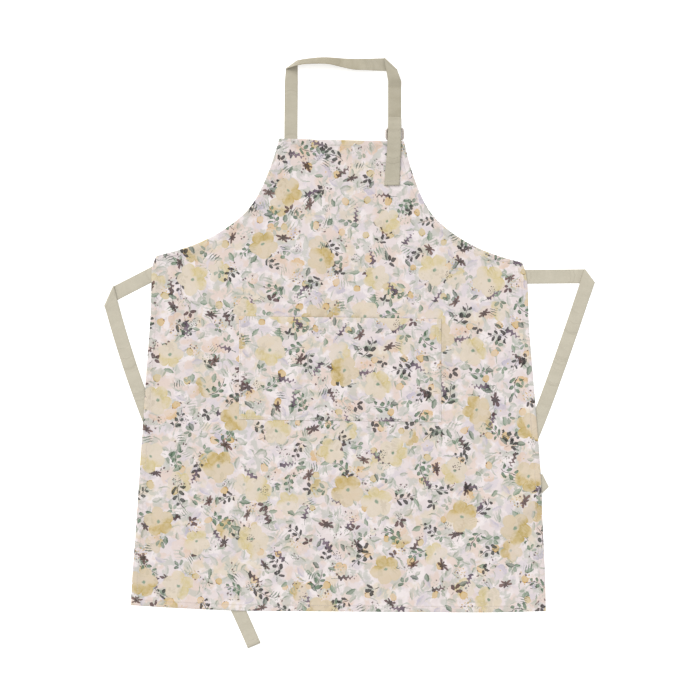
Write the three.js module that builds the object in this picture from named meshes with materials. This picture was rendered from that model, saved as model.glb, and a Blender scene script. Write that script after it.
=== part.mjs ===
// A kitchen apron of printed cotton, laid on a table with its front up, in millimetres.
//
// X runs to the wearer's left (the right of a view from above), Y runs from the hem to the bib
// and Z is up. The origin is the middle of the panel's underside, on the table.
// The cloth panel is a bib that widens at two curved armholes to a skirt, with turned hems.
// A patch pocket is sewn on the front. One long tape is sewn behind the bib's left corner, folds
// over at the two top corners of the neck loop and runs down to a plain ring, which a short tab
// holds at the bib's right corner. The tape passes the ring, turns back and ends on the bib.
// A tie is sewn behind each side. Both fold over and run back under the skirt.

import * as THREE from 'three';

// Cloth panel
const bodyLength = 852;
const bibWidth = 227;
const waistWidth = 665;
const hemWidth = 755;
const armholeDrop = 217;
const cloth = 1.2;
const hemBand = 12;
const hemRaise = 0.6;
const hemStep = 3;
const bibShift = 6.5;
const slant = 6;

// Pocket
const pocketWidth = 368;
const pocketDepth = 188;
const pocketDown = 323;
const pocketShift = 4;
const pocketSlant = 2.5;
const pocketHem = 22;
const pocketGape = 2;
const gapeReach = 0.5;

// Tapes. firstTurn is what the neck loop's first fold turns through, in degrees: it stands open
// while the other folds lie flat.
const neckTape = 24;
const tieTape = 25.5;
const tape = 1.2;
const foldRadius = 1.05;
const sewnLap = 32;
const endHem = 12;
const neckRise = 136;
const neckSpan = 181;
const neckLean = 2.2;
const leftInset = 21;
const rightInset = 17;
const tailDrop = 83;
const tailShift = 3;
const tieLength = 776;
const tieDown = 30;
const tieOffset = 4;
const firstTurn = 117;

// Ring and its tab
const ringWidth = 34;
const ringHeight = 22;
const wireRadius = 1.5;
const ringCorner = 3;
const tabLeg = 30;
const turnBack = 6;

// Clearances between pieces that touch
const gap = 0.3;
const laidGap = 0.5;

// Fineness of the mesh
const columns = 28;
const skirtRows = 24;
const pocketColumns = 14;
const pocketRows = 7;
const tapeStep = 15;
const fineStep = 6;
const foldSteps = 8;
const ringSides = 8;
const cornerSteps = 4;

// How far the cloth stays raised beside a tape under it, and how far it takes to come down
const coverMargin = 30;
const coverRamp = 45;

const bibTop = bodyLength / 2;
const waistLevel = bibTop - armholeDrop;
const skirtLength = bodyLength - armholeDrop;
const degree = Math.PI / 180;

// The panel's three levels. mid is a share of bibShift, lie a share of slant.
const levels = {
  bib: { half: bibWidth / 2, y: bibTop, mid: 1, lie: 0.45 },
  waist: { half: waistWidth / 2, y: waistLevel, mid: 0.35, lie: 1 },
  hem: { half: hemWidth / 2, y: -bibTop, mid: 0.08, lie: 0.9 },
};

// Shares of armholeDrop at which the bib has a row of the mesh below its top hem, and the share
// of skirtLength where the sides bend.
const bibRows = [
  0.14, 0.22, 0.3, 0.38, 0.46, 0.54, 0.61, 0.68, 0.74, 0.8, 0.85, 0.89, 0.925, 0.955, 0.98,
];
const sideBend = 0.03;

// Armholes: down is a share of armholeDrop, left and right are shares from bib to waist width.
const armhole = [
  { down: 0, left: 0, right: 0 },
  { down: 0.15, left: 0.04, right: 0.04 },
  { down: 0.3, left: 0.09, right: 0.09 },
  { down: 0.45, left: 0.152, right: 0.152 },
  { down: 0.58, left: 0.228, right: 0.228 },
  { down: 0.68, left: 0.322, right: 0.322 },
  { down: 0.77, left: 0.438, right: 0.438 },
  { down: 0.85, left: 0.572, right: 0.572 },
  { down: 0.92, left: 0.73, right: 0.73 },
  { down: 0.965, left: 0.87, right: 0.87 },
  { down: 1, left: 1, right: 1 },
];

// Sides of the skirt: down is a share of skirtLength, left and right are shares from waist to
// hem width.
const side = [
  { down: 0, left: 0, right: 0 },
  { down: 0.03, left: 0.17, right: 0.15 },
  { down: 0.08, left: 0.2, right: 0.235 },
  { down: 0.18, left: 0.25, right: 0.29 },
  { down: 0.32, left: 0.39, right: 0.45 },
  { down: 0.45, left: 0.5, right: 0.6 },
  { down: 0.58, left: 0.63, right: 0.75 },
  { down: 0.7, left: 0.735, right: 0.83 },
  { down: 0.82, left: 0.85, right: 0.92 },
  { down: 0.92, left: 0.95, right: 0.98 },
  { down: 1, left: 1, right: 1 },
];

// Bottom hem: across is a share of the width, sag a share of hemWidth below the corners.
const hemSag = [
  { across: 0, sag: 0 },
  { across: 0.09, sag: 0.0045 },
  { across: 0.25, sag: 0.009 },
  { across: 0.5, sag: 0.008 },
  { across: 0.85, sag: 0.0055 },
  { across: 1, sag: 0 },
];

// Soft swells of the lying cloth: x and long are shares of hemWidth, y and wide of bodyLength,
// turn is in degrees and rise is a share of the cloth's thickness.
const swells = [
  { x: 0.28, y: -0.16, long: 0.15, wide: 0.06, turn: 64, rise: 1.6 },
  { x: -0.17, y: -0.33, long: 0.2, wide: 0.06, turn: 12, rise: 1.5 },
  { x: 0.2, y: -0.4, long: 0.18, wide: 0.05, turn: -16, rise: 1.3 },
  { x: -0.1, y: 0.24, long: 0.14, wide: 0.06, turn: -52, rise: 1.5 },
  { x: 0.22, y: 0.19, long: 0.13, wide: 0.05, turn: 28, rise: 1.4 },
  { x: -0.38, y: -0.12, long: 0.12, wide: 0.05, turn: 84, rise: 1.2 },
];

// Top stretch of the neck loop, between its two folds: along is a share of neckSpan from the
// first fold's middle, the rest are shares of neckTape from its level. The outer edge lies on
// the table and the inner edge stands up.
const topRun = [
  { outAlong: 0.059, outUp: 0.326, inAlong: -0.059, inUp: -0.326, outHigh: 0, inHigh: 0 },
  { outAlong: 0.097, outUp: 0.379, inAlong: 0.001, inUp: -0.228, outHigh: 0.12, inHigh: 0.36 },
  { outAlong: 0.147, outUp: 0.47, inAlong: 0.061, inUp: -0.129, outHigh: 0.08, inHigh: 0.72 },
  { outAlong: 0.212, outUp: 0.546, inAlong: 0.142, inUp: 0, outHigh: 0, inHigh: 0.87 },
  { outAlong: 0.303, outUp: 0.6, inAlong: 0.252, inUp: 0.068, outHigh: 0, inHigh: 0.86 },
  { outAlong: 0.403, outUp: 0.584, inAlong: 0.373, inUp: 0.038, outHigh: 0, inHigh: 0.83 },
  { outAlong: 0.504, outUp: 0.523, inAlong: 0.494, inUp: -0.152, outHigh: 0, inHigh: 0.73 },
  { outAlong: 0.614, outUp: 0.493, inAlong: 0.624, inUp: -0.334, outHigh: 0, inHigh: 0.56 },
  { outAlong: 0.725, outUp: 0.493, inAlong: 0.755, inUp: -0.379, outHigh: 0, inHigh: 0.45 },
  { outAlong: 0.815, outUp: 0.508, inAlong: 0.876, inUp: -0.417, outHigh: 0, inHigh: 0.22 },
  { outAlong: 0.881, outUp: 0.523, inAlong: 0.976, inUp: -0.432, outHigh: 0, inHigh: 0.03 },
  { outAlong: 0.926, outUp: 0.531, inAlong: 1.06, inUp: -0.402, outHigh: 0, inHigh: 0 },
];

// The strap beside its folds, in tape widths: how soon before the first fold it starts to turn,
// where it is square again and flat on the table after the second, and how much it rises over the
// top stretch's standing edge. peak and down are the shares of that way.
const besideFolds = { before: 1.3, square: 1.25, flat: 2.5, rise: 0.18, peak: 0.325, down: 0.9 };

// Ties: run is a share of tieLength, from and to are headings in degrees from +X, and fold says
// that the tape folds over at the run's end. The first run starts at the panel's side edge.
const leftTie = [
  { run: 0.1115, from: 207.2, to: 207.2, fold: true },
  { run: 0.218, from: -75.5, to: -70.5, fold: false },
  { run: 0.291, from: -70.5, to: -63.5, fold: false },
  { run: 0.291, from: -63.5, to: -65, fold: false },
  { run: 0.0885, from: -65, to: -67, fold: false },
];
const rightTie = [
  { run: 0.1475, from: 0.5, to: 0.5, fold: true },
  { run: 0.262, from: -108, to: -110, fold: false },
  { run: 0.269, from: -109.5, to: -116, fold: true },
  { run: 0.0865, from: 10.6, to: 10.6, fold: true },
  { run: 0.235, from: -138, to: -138, fold: false },
];

// A smooth fall from 1 to 0 while t goes from 0 to 1.
function fall(t) {
  const s = Math.min(Math.max(t, 0), 1);
  return 1 - s * s * (3 - 2 * s);
}

// A smooth curve through a table's rows: cubic pieces whose slope at a row is that of the line
// between its two neighbours.
function through(rows, key, value, at) {
  const last = rows.length - 1;
  let i = 0;
  while (i < last - 1 && at > rows[i + 1][key]) {
    i += 1;
  }
  const slope = (k) => {
    const before = rows[Math.max(k - 1, 0)];
    const after = rows[Math.min(k + 1, last)];
    return (after[value] - before[value]) / (after[key] - before[key]);
  };
  const width = rows[i + 1][key] - rows[i][key];
  const t = (at - rows[i][key]) / width;
  const square = t * t;
  const cube = square * t;
  return (2 * cube - 3 * square + 1) * rows[i][value]
    + (cube - 2 * square + t) * width * slope(i)
    + (3 * square - 2 * cube) * rows[i + 1][value]
    + (cube - square) * width * slope(i + 1);
}

// The panel's left (-1) or right (1) edge between two levels, at a share of the way down.
function edgePoint(hand, above, below, table, down) {
  const out = through(table, 'down', hand < 0 ? 'left' : 'right', down);
  const half = above.half + (below.half - above.half) * out;
  const mid = bibShift * (above.mid + (below.mid - above.mid) * down);
  const lie = slant * (above.lie + (below.lie - above.lie) * down);
  const y = above.y + (below.y - above.y) * down;
  return new THREE.Vector2(mid + hand * half, y - hand * lie);
}

const armholePoint = (hand, down) => edgePoint(hand, levels.bib, levels.waist, armhole, down);
const sidePoint = (hand, down) => edgePoint(hand, levels.waist, levels.hem, side, down);

// The height of the bib's top edge at x.
function bibTopAt(x) {
  const share = (x - bibShift) / levels.bib.half;
  return bibTop - slant * levels.bib.lie * share;
}

// How far the swells raise the cloth at a place.
function swellAt(x, y) {
  let rise = 0;
  for (const row of swells) {
    const dx = x - row.x * hemWidth;
    const dy = y - row.y * bodyLength;
    const turn = row.turn * degree;
    const along = (dx * Math.cos(turn) + dy * Math.sin(turn)) / (row.long * hemWidth);
    const across = (dy * Math.cos(turn) - dx * Math.sin(turn)) / (row.wide * bodyLength);
    const reach = Math.min(along * along + across * across, 1);
    rise += row.rise * cloth * (1 - reach) ** 2;
  }
  return rise;
}

// A cross line of a tape, from its edge a to its edge b, given by its middle, its direction and
// its half length. extra is what a doubled end adds to the tape's thickness there.
function crossLine(x, y, z, direction, reach, extra = 0) {
  const middle = new THREE.Vector3(x, y, z);
  const arm = new THREE.Vector3(Math.cos(direction), Math.sin(direction), 0).multiplyScalar(reach);
  return { a: middle.clone().sub(arm), b: middle.clone().add(arm), extra };
}

// The turn of a tape about a fold line: cross lines on a round of the given radius, upward from
// the line, away from heading.
function foldOver(line, heading, radius, turn = Math.PI) {
  const along = line.b.clone().sub(line.a).normalize();
  const outward = new THREE.Vector3(Math.cos(heading), Math.sin(heading), 0);
  outward.addScaledVector(along, -outward.dot(along)).normalize();
  const lines = [];
  for (let i = 1; i <= foldSteps; i += 1) {
    const angle = (turn * i) / foldSteps;
    const move = outward.clone().multiplyScalar(radius * Math.sin(angle));
    move.z += radius * (1 - Math.cos(angle));
    lines.push({ a: line.a.clone().add(move), b: line.b.clone().add(move), extra: 0 });
  }
  return lines;
}

// The nearest angle to `near` that means the same line as `angle`.
function sameLine(angle, near) {
  return angle + Math.PI * Math.round((near - angle) / Math.PI);
}

// A tape laid along the runs of a table, with a fold between two runs. Cross lines stand square
// to the run and turn towards the fold line over one tape width. Past a fold the tape lies on
// itself until the two runs part, and then comes down to the table.
function layRuns(start, table, length, width, lap) {
  const lines = [];
  const spot = new THREE.Vector2(
    start.x - lap * Math.cos(table[0].from * degree),
    start.y - lap * Math.sin(table[0].from * degree),
  );
  let lineBefore = null;
  let square = table[0].from * degree - Math.PI / 2;
  let travelled = 0;
  let stay = 0;
  let lower = null;
  table.forEach((row, index) => {
    const from = row.from * degree;
    const to = row.to * degree;
    const next = table[index + 1];
    const run = row.run * length + (index === 0 ? lap : 0);
    square = sameLine(from - Math.PI / 2, lineBefore === null ? square : lineBefore);
    const lineAfter = row.fold ? sameLine((to + next.from * degree) / 2, square) : null;
    const steps = Math.max(Math.round(run / tapeStep), 3);
    const liftAt = liftAlong(lower, travelled, stay, width);
    for (let i = lines.length === 0 ? 0 : 1; i <= steps; i += 1) {
      const share = i / steps;
      const heading = from + (to - from) * share;
      if (i > 0) {
        const half = from + (to - from) * (share - 0.5 / steps);
        spot.x += (run / steps) * Math.cos(half);
        spot.y += (run / steps) * Math.sin(half);
      }
      let direction = square + (heading - from);
      if (lineBefore !== null) {
        direction += (lineBefore - direction) * fall((share * run) / width);
      }
      if (lineAfter !== null) {
        direction += (lineAfter - direction) * fall(((1 - share) * run) / width);
      }
      const reach = width / 2 / Math.abs(Math.sin(direction - heading));
      const lift = liftAt(share * run);
      const atEnd = next === undefined && (1 - share) * run < endHem;
      lines.push(crossLine(spot.x, spot.y, tape / 2 + lift, direction, reach, atEnd ? tape : 0));
    }
    travelled += run;
    square += to - from;
    lineBefore = null;
    if (row.fold) {
      const leaving = next.from * degree;
      const apart = Math.abs(Math.sin(leaving - to));
      lines.push(...foldOver(lines[lines.length - 1], to, foldRadius));
      stay = (width / 2) * ((1 - Math.cos(leaving - to)) / apart) + tape;
      travelled = 0;
      lower = (back) => liftAt(Math.max(run - back, 0));
      lineBefore = lineAfter;
    } else if (travelled > stay + width) {
      lower = null;
    }
  });
  return lines;
}

// The lift of a run's tape off the table at a distance along the run: on the run before it, which
// `lower` gives the lift of, until the two part, and then down.
function liftAlong(lower, travelled, stay, width) {
  if (lower === null) {
    return () => 0;
  }
  return (distance) => {
    const past = travelled + distance;
    const beneath = Math.max(lower(past - width / 2), lower(past), lower(past + width / 2));
    return (2 * foldRadius + beneath) * fall((past - stay) / width);
  };
}

// The tape as a closed solid round its cross lines. Each face stands off the middle surface by
// half the thickness, square to the cross line and to the run.
function tapeSolid(lines) {
  const middle = lines.map((line) => line.a.clone().add(line.b).multiplyScalar(0.5));
  const corners = [];
  lines.forEach((line, i) => {
    const ahead = middle[Math.min(i + 1, lines.length - 1)];
    const behind = middle[Math.max(i - 1, 0)];
    const across = line.b.clone().sub(line.a);
    const normal = across.cross(ahead.clone().sub(behind)).normalize();
    const up = normal.z >= 0 ? tape / 2 + line.extra : tape / 2;
    const down = normal.z >= 0 ? tape / 2 : tape / 2 + line.extra;
    corners.push([
      line.a.clone().addScaledVector(normal, -down),
      line.b.clone().addScaledVector(normal, -down),
      line.b.clone().addScaledVector(normal, up),
      line.a.clone().addScaledVector(normal, up),
    ]);
  });
  return tubeOf(corners, false);
}

// A closed mesh round rings of corners: a tube with two flat ends, or one that closes on itself.
function tubeOf(rings, closed) {
  const count = rings[0].length;
  const positions = rings.flat().flatMap((point) => [point.x, point.y, point.z]);
  const faces = [];
  const spans = closed ? rings.length : rings.length - 1;
  for (let i = 0; i < spans; i += 1) {
    const here = i * count;
    const next = ((i + 1) % rings.length) * count;
    for (let k = 0; k < count; k += 1) {
      const m = (k + 1) % count;
      faces.push(here + k, here + m, next + m, here + k, next + m, next + k);
    }
  }
  if (!closed) {
    const end = (rings.length - 1) * count;
    for (let k = 1; k < count - 1; k += 1) {
      faces.push(0, k + 1, k, end, end + k, end + k + 1);
    }
  }
  return facesOut(positions, faces);
}

// A mesh whose faces all point outwards, whichever way its rings were walked.
function facesOut(positions, faces) {
  let volume = 0;
  const at = (k) => new THREE.Vector3().fromArray(positions, 3 * k);
  for (let i = 0; i < faces.length; i += 3) {
    volume += at(faces[i]).dot(at(faces[i + 1]).cross(at(faces[i + 2])));
  }
  const outward = volume > 0 ? faces : faces.toReversed();
  const geometry = new THREE.BufferGeometry();
  geometry.setAttribute('position', new THREE.Float32BufferAttribute(positions, 3));
  geometry.setIndex(outward);
  return geometry;
}

// A closed sheet of cloth over a grid: place gives x and y of a grid point, under and over give
// the heights of its two faces there.
function sheetSolid(rows, across, place, under, over) {
  const positions = [];
  const faces = [];
  for (const height of [under, over]) {
    for (let j = 0; j <= rows; j += 1) {
      for (let i = 0; i <= across; i += 1) {
        const spot = place(i, j);
        positions.push(spot.x, spot.y, height(i, j, spot));
      }
    }
  }
  const stride = across + 1;
  const layer = (rows + 1) * stride;
  const quad = (p, q, r, s) => faces.push(p, q, r, p, r, s);
  for (let j = 0; j < rows; j += 1) {
    for (let i = 0; i < across; i += 1) {
      const k = j * stride + i;
      quad(k, k + 1, k + stride + 1, k + stride);
      quad(layer + k, layer + k + stride, layer + k + stride + 1, layer + k + 1);
    }
  }
  for (let i = 0; i < across; i += 1) {
    const k = rows * stride + i;
    quad(i, layer + i, layer + i + 1, i + 1);
    quad(k + 1, layer + k + 1, layer + k, k);
  }
  for (let j = 0; j < rows; j += 1) {
    const k = j * stride;
    quad(k + stride, layer + k + stride, layer + k, k);
    quad(k + across, layer + k + across, layer + k + across + stride, k + across + stride);
  }
  return facesOut(positions, faces);
}

// The neck strap's way, from its sewn end behind the bib's left corner to its end on the front.
const leftRunX = bibShift - bibWidth / 2 + leftInset;
const rightRunX = bibShift + bibWidth / 2 - rightInset;
const topLevel = bibTop + neckRise;
const topStart = leftRunX + (rightRunX - leftRunX - neckSpan) / 2 - neckLean;
const wrapRadius = wireRadius + gap + tape / 2;
const ringMiddle = tape / 2 + wrapRadius;
const lowBar = bibTopAt(rightRunX) + wireRadius + gap + tape + gap;
const highBar = lowBar + ringHeight - 2 * wireRadius;
const barHigh = ringMiddle + wrapRadius;
const tailHigh = barHigh + 2 * foldRadius;

// The top stretch's cross lines, on smooth curves through the table's rows.
function topLines() {
  const lines = [];
  const inBetween = 3;
  const keyed = topRun.map((row, index) => ({ ...row, index }));
  for (let k = 0; k <= (topRun.length - 1) * inBetween; k += 1) {
    const at = (column) => through(keyed, 'index', column, k / inBetween);
    const edge = (along, up, high) => new THREE.Vector3(
      topStart + at(along) * neckSpan,
      topLevel + at(up) * neckTape,
      tape / 2 + Math.max(at(high), 0) * neckTape,
    );
    lines.push({
      a: edge('inAlong', 'inUp', 'inHigh'),
      b: edge('outAlong', 'outUp', 'outHigh'),
      extra: 0,
    });
  }
  return lines;
}

// A straight run of cross lines from one given line, left out, to another.
function straightLines(first, last, step) {
  const lines = [];
  const length = last.a.clone().add(last.b).distanceTo(first.a.clone().add(first.b)) / 2;
  const steps = Math.max(Math.round(length / step), 2);
  for (let i = 1; i <= steps; i += 1) {
    const share = i / steps;
    const a = first.a.clone().lerp(last.a, share);
    const b = first.b.clone().lerp(last.b, share);
    lines.push({ a, b, extra: 0 });
  }
  return lines;
}

// A cross line of the neck strap that lies square to Y, with edge a on the left (hand 1) or on
// the right (hand -1).
function squareLine(x, y, z, hand) {
  return crossLine(x, y, z, hand > 0 ? 0 : Math.PI, neckTape / 2);
}

// The whole strap: the left run up from its sewn end, a fold, the top stretch, a flat fold and
// the right run. The fold lifts the start of the top stretch, which comes down over its first
// quarter.
function neckLines() {
  const top = topLines();
  const first = { a: top[0].a.clone(), b: top[0].b.clone(), extra: 0 };
  const fold = foldOver(first, 90 * degree, foldRadius, firstTurn * degree);
  const raised = fold[fold.length - 1].a.clone().sub(first.a);
  const eased = top.map((line, i) => {
    const share = fall((4 * i) / top.length);
    const a = line.a.clone().addScaledVector(raised, share);
    const b = line.b.clone().addScaledVector(raised, share);
    return { a, b, extra: 0 };
  });
  const sewn = squareLine(leftRunX, bibTopAt(leftRunX) - sewnLap, tape / 2, 1);
  const turnLevel = topLevel - besideFolds.before * neckTape;
  const nearFold = squareLine((leftRunX + topStart) / 2, turnLevel, tape / 2, 1);
  const lines = [sewn, ...straightLines(sewn, nearFold, tapeStep)];
  lines.push(...straightLines(nearFold, first, fineStep));
  lines.push(...fold, ...eased.slice(1));
  const corner = lines[lines.length - 1];
  lines.push(...foldOver(corner, 0, foldRadius));
  lines.push(...descendingLines(lines[lines.length - 1]));
  return lines;
}

// The right run: down from the second fold, over the standing inner edge, to the table, under the
// ring's upper bar and round it, back up a little, and down again over the ring and the bib.
function descendingLines(corner) {
  const { square, flat, rise, peak, down } = besideFolds;
  const turned = squareLine(rightRunX, topLevel - square * neckTape, tape / 2, -1);
  const below = squareLine(rightRunX, topLevel - flat * neckTape, tape / 2, -1);
  const lines = [...straightLines(corner, turned, fineStep)];
  lines.push(...straightLines(turned, below, fineStep));
  lines.forEach((line, i) => {
    const share = (i + 1) / lines.length;
    const over = rise * neckTape * Math.sin((Math.PI / 2) * Math.min(share / peak, 2));
    line.a.z = tape / 2 + (corner.a.z - tape / 2) * fall(share / down) + over;
    line.b.z = line.a.z;
  });
  const atBar = squareLine(rightRunX, highBar, tape / 2, -1);
  lines.push(...straightLines(below, atBar, tapeStep));
  lines.push(...foldOver(atBar, -90 * degree, wrapRadius));
  const returned = squareLine(rightRunX, highBar + turnBack, barHigh, -1);
  lines.push(...straightLines(lines[lines.length - 1], returned, fineStep));
  lines.push(...foldOver(returned, 90 * degree, foldRadius));
  const end = squareLine(rightRunX - tailShift, bibTop - tailDrop, 0, -1);
  const tail = straightLines(lines[lines.length - 1], end, fineStep);
  for (const line of tail) {
    const y = (line.a.y + line.b.y) / 2;
    const x = (line.a.x + line.b.x) / 2;
    line.a.z = tailHeight(x, y);
    line.b.z = line.a.z;
    line.extra = y - end.a.y < endHem ? tape : 0;
  }
  lines.push(...tail);
  return lines;
}

// The tab's way: up under the bib, round the ring's lower bar and down on the bib's front.
function tabLines() {
  const tail = squareLine(rightRunX, bibTopAt(rightRunX) - tabLeg, tape / 2, 1);
  const atBar = squareLine(rightRunX, lowBar, tape / 2, 1);
  const lines = [tail, ...straightLines(tail, atBar, fineStep)];
  lines.push(...foldOver(atBar, 90 * degree, wrapRadius));
  const start = lines[lines.length - 1];
  const end = squareLine(rightRunX, bibTopAt(rightRunX) - tabLeg, 0, 1);
  const front = straightLines(start, end, fineStep);
  for (const line of front) {
    line.a.z = tabHeight(line.a.y);
    line.b.z = line.a.z;
  }
  return [...lines, ...front];
}

// The middle height of the tab's front leg: level with the bar's wrap, then on the bib.
function tabHeight(y) {
  const onBib = panelTop(rightRunX, y) + gap + tape / 2;
  const past = (lowBar - y) / (3 * wrapRadius);
  return Math.max(onBib, onBib + (barHigh - onBib) * fall(past));
}

// The middle height of the strap's tail: on the ring, then on the tab, then on the bib.
function tailHeight(x, y) {
  const onBib = panelTop(x, y) + laidGap + tape / 2;
  const tabEnd = bibTopAt(rightRunX) - tabLeg;
  const onTab = onBib + (tape + laidGap) * fall((tabEnd - tape - y) / neckTape);
  return onTab + (tailHigh - onTab) * fall((lowBar - wrapRadius - y) / neckTape);
}

// Where a tie leaves the panel's side edge. The left tie is sewn on a little lower.
function tieStart(hand) {
  return sidePoint(hand, (tieDown - hand * tieOffset) / skirtLength);
}

// Tapes that lie between the table and the panel: each tie, the strap's sewn end and the tab's
// back leg. The cloth rises over them.
const leftTieLines = layRuns(tieStart(-1), leftTie, tieLength, tieTape, sewnLap);
const rightTieLines = layRuns(tieStart(1), rightTie, tieLength, tieTape, sewnLap);
const sewnEnds = [
  squareLine(leftRunX, bibTopAt(leftRunX) - sewnLap, tape / 2, 1),
  squareLine(leftRunX, bibTopAt(leftRunX), tape / 2, 1),
  squareLine(rightRunX, bibTopAt(rightRunX) - tabLeg, tape / 2, 1),
  squareLine(rightRunX, bibTopAt(rightRunX), tape / 2, 1),
];
const covered = [...leftTieLines, ...rightTieLines, ...sewnEnds];

// The distance in plan from a place to a cross line.
function planDistance(x, y, line) {
  const dx = line.b.x - line.a.x;
  const dy = line.b.y - line.a.y;
  const share = ((x - line.a.x) * dx + (y - line.a.y) * dy) / (dx * dx + dy * dy);
  const held = Math.min(Math.max(share, 0), 1);
  return Math.hypot(x - line.a.x - held * dx, y - line.a.y - held * dy);
}

// How far the cloth is lifted off the table by the tapes under it.
function coverAt(x, y) {
  let lift = 0;
  for (const line of covered) {
    const away = planDistance(x, y, line) - coverMargin;
    if (away < coverRamp) {
      const height = Math.max(line.a.z, line.b.z) + tape / 2 + line.extra + gap;
      lift = Math.max(lift, height * fall(away / coverRamp));
    }
  }
  return lift;
}

// The height of the panel's front face under a cross line of the strap, with the hems that the
// line meets along the bib's top and along the armhole.
function panelTop(x, y) {
  const armholeX = armholePoint(1, Math.max((bibTop - y) / armholeDrop, 0)).x;
  const inTopHem = fall((bibTopAt(x) - y - hemBand) / hemStep);
  const inSideHem = fall((armholeX - x - neckTape / 2 - hemBand) / hemStep - 1);
  return coverAt(x, y) + swellAt(x, y) + cloth + hemRaise * Math.max(inTopHem, inSideHem);
}

// The panel's grid: rows follow the armholes and the sides, with a row at each edge of a hem.
function panelRows() {
  const rows = [];
  const hemShare = hemBand / armholeDrop;
  const stepShare = (hemBand + hemStep) / armholeDrop;
  for (const down of [0, hemShare, stepShare, ...bibRows]) {
    rows.push({ at: (hand) => armholePoint(hand, down), sag: 0, hem: down < stepShare });
  }
  const step = 1 / skirtRows;
  const lower = Array.from({ length: skirtRows }, (_, k) => k * step);
  lower.splice(1, 0, sideBend);
  lower.push(1 - (hemBand + hemStep) / skirtLength, 1 - hemBand / skirtLength, 1);
  lower.forEach((down, k) => {
    const hem = k >= lower.length - 2;
    rows.push({ at: (hand) => sidePoint(hand, down), sag: down * down, hem });
  });
  return rows;
}

// The panel. Its outermost columns follow the side hems, whose width along a row grows where
// the edge leans.
function makePanel() {
  const rows = panelRows();
  const count = columns + 4;
  const steepest = 3;
  const ends = rows.map((row, j) => {
    const left = row.at(-1);
    const right = row.at(1);
    const above = rows[Math.max(j - 1, 0)].at(-1);
    const below = rows[Math.min(j + 1, rows.length - 1)].at(-1);
    const lean = Math.min(Math.abs(below.x - above.x) / (above.y - below.y), steepest);
    const hemShare = (hemBand * Math.hypot(1, lean)) / (right.x - left.x);
    return { left, right, hemShare };
  });
  const share = (i, j) => {
    const hem = ends[j].hemShare;
    const inner = hem + hemStep / (ends[j].right.x - ends[j].left.x);
    if (i < 3) {
      return [0, hem, inner][i];
    }
    if (i > count - 3) {
      return 1 - [0, hem, inner][count - i];
    }
    return inner + ((1 - 2 * inner) * (i - 2)) / (count - 4);
  };
  const place = (i, j) => {
    const u = share(i, j);
    const spot = ends[j].left.clone().lerp(ends[j].right, u);
    spot.y -= rows[j].sag * hemWidth * through(hemSag, 'across', 'sag', u);
    return spot;
  };
  const under = (i, j, spot) => coverAt(spot.x, spot.y) + swellAt(spot.x, spot.y);
  const over = (i, j, spot) => {
    const inHem = rows[j].hem || i < 2 || i > count - 2;
    return under(i, j, spot) + cloth + (inHem ? hemRaise : 0);
  };
  return sheetSolid(rows.length - 1, count, place, under, over);
}

// The pocket: a plain panel on the front with a deep top hem, whose mouth stands off a little.
function makePocket() {
  const downs = [0, pocketHem / pocketDepth, (pocketHem + hemStep) / pocketDepth];
  for (let k = 1; k <= pocketRows; k += 1) {
    downs.push(downs[2] + ((1 - downs[2]) * k) / pocketRows);
  }
  const place = (i, j) => {
    const u = i / pocketColumns;
    const x = pocketShift + (u - 0.5) * pocketWidth;
    const y = bibTop - pocketDown - downs[j] * pocketDepth;
    return new THREE.Vector2(x, y - pocketSlant * (2 * u - 1));
  };
  const under = (i, j, spot) => {
    const bow = Math.sin((Math.PI * i) / pocketColumns) ** 2;
    const gape = pocketGape * bow * fall(downs[j] / gapeReach);
    return coverAt(spot.x, spot.y) + swellAt(spot.x, spot.y) + cloth + gap + gape;
  };
  const over = (i, j, spot) => under(i, j, spot) + cloth + (j < 2 ? hemRaise : 0);
  return sheetSolid(downs.length - 1, pocketColumns, place, under, over);
}

// The ring: a round wire along a rectangle with round corners, lying level.
function makeRing() {
  const halfWidth = ringWidth / 2 - wireRadius;
  const halfHeight = ringHeight / 2 - wireRadius;
  const middleY = (lowBar + highBar) / 2;
  const rings = [];
  const quarters = [[1, 1], [-1, 1], [-1, -1], [1, -1]];
  quarters.forEach(([sx, sy], quarter) => {
    for (let k = 0; k <= cornerSteps; k += 1) {
      const angle = (quarter + k / cornerSteps) * 90 * degree;
      const outward = new THREE.Vector3(Math.cos(angle), Math.sin(angle), 0);
      const centre = new THREE.Vector3(
        rightRunX + sx * (halfWidth - ringCorner) + ringCorner * outward.x,
        middleY + sy * (halfHeight - ringCorner) + ringCorner * outward.y,
        ringMiddle,
      );
      const loop = [];
      for (let m = 0; m < ringSides; m += 1) {
        const turn = (2 * Math.PI * (m + 0.5)) / ringSides;
        const point = centre.clone().addScaledVector(outward, wireRadius * Math.cos(turn));
        point.z += wireRadius * Math.sin(turn);
        loop.push(point);
      }
      rings.push(loop);
    }
  });
  return tubeOf(rings, true);
}

const printedCotton = new THREE.MeshStandardMaterial({ color: 0xeee2e4, roughness: 0.95 });
const cottonTape = new THREE.MeshStandardMaterial({ color: 0xbeb7a3, roughness: 0.9 });
const ringMetal = new THREE.MeshStandardMaterial({ color: 0xada69c, roughness: 0.4, metalness: 1 });

// A named sub-part.
function piece(name, geometry, material) {
  const mesh = new THREE.Mesh(geometry, material);
  mesh.name = name;
  return mesh;
}

const apron = new THREE.Group();
apron.add(piece('body_panel', makePanel(), printedCotton));
apron.add(piece('pocket', makePocket(), printedCotton));
apron.add(piece('neck_strap', tapeSolid(neckLines()), cottonTape));
apron.add(piece('ring_tab', tapeSolid(tabLines()), cottonTape));
apron.add(piece('strap_ring', makeRing(), ringMetal));
apron.add(piece('tie_left', tapeSolid(leftTieLines), cottonTape));
apron.add(piece('tie_right', tapeSolid(rightTieLines), cottonTape));

export default apron;
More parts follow.
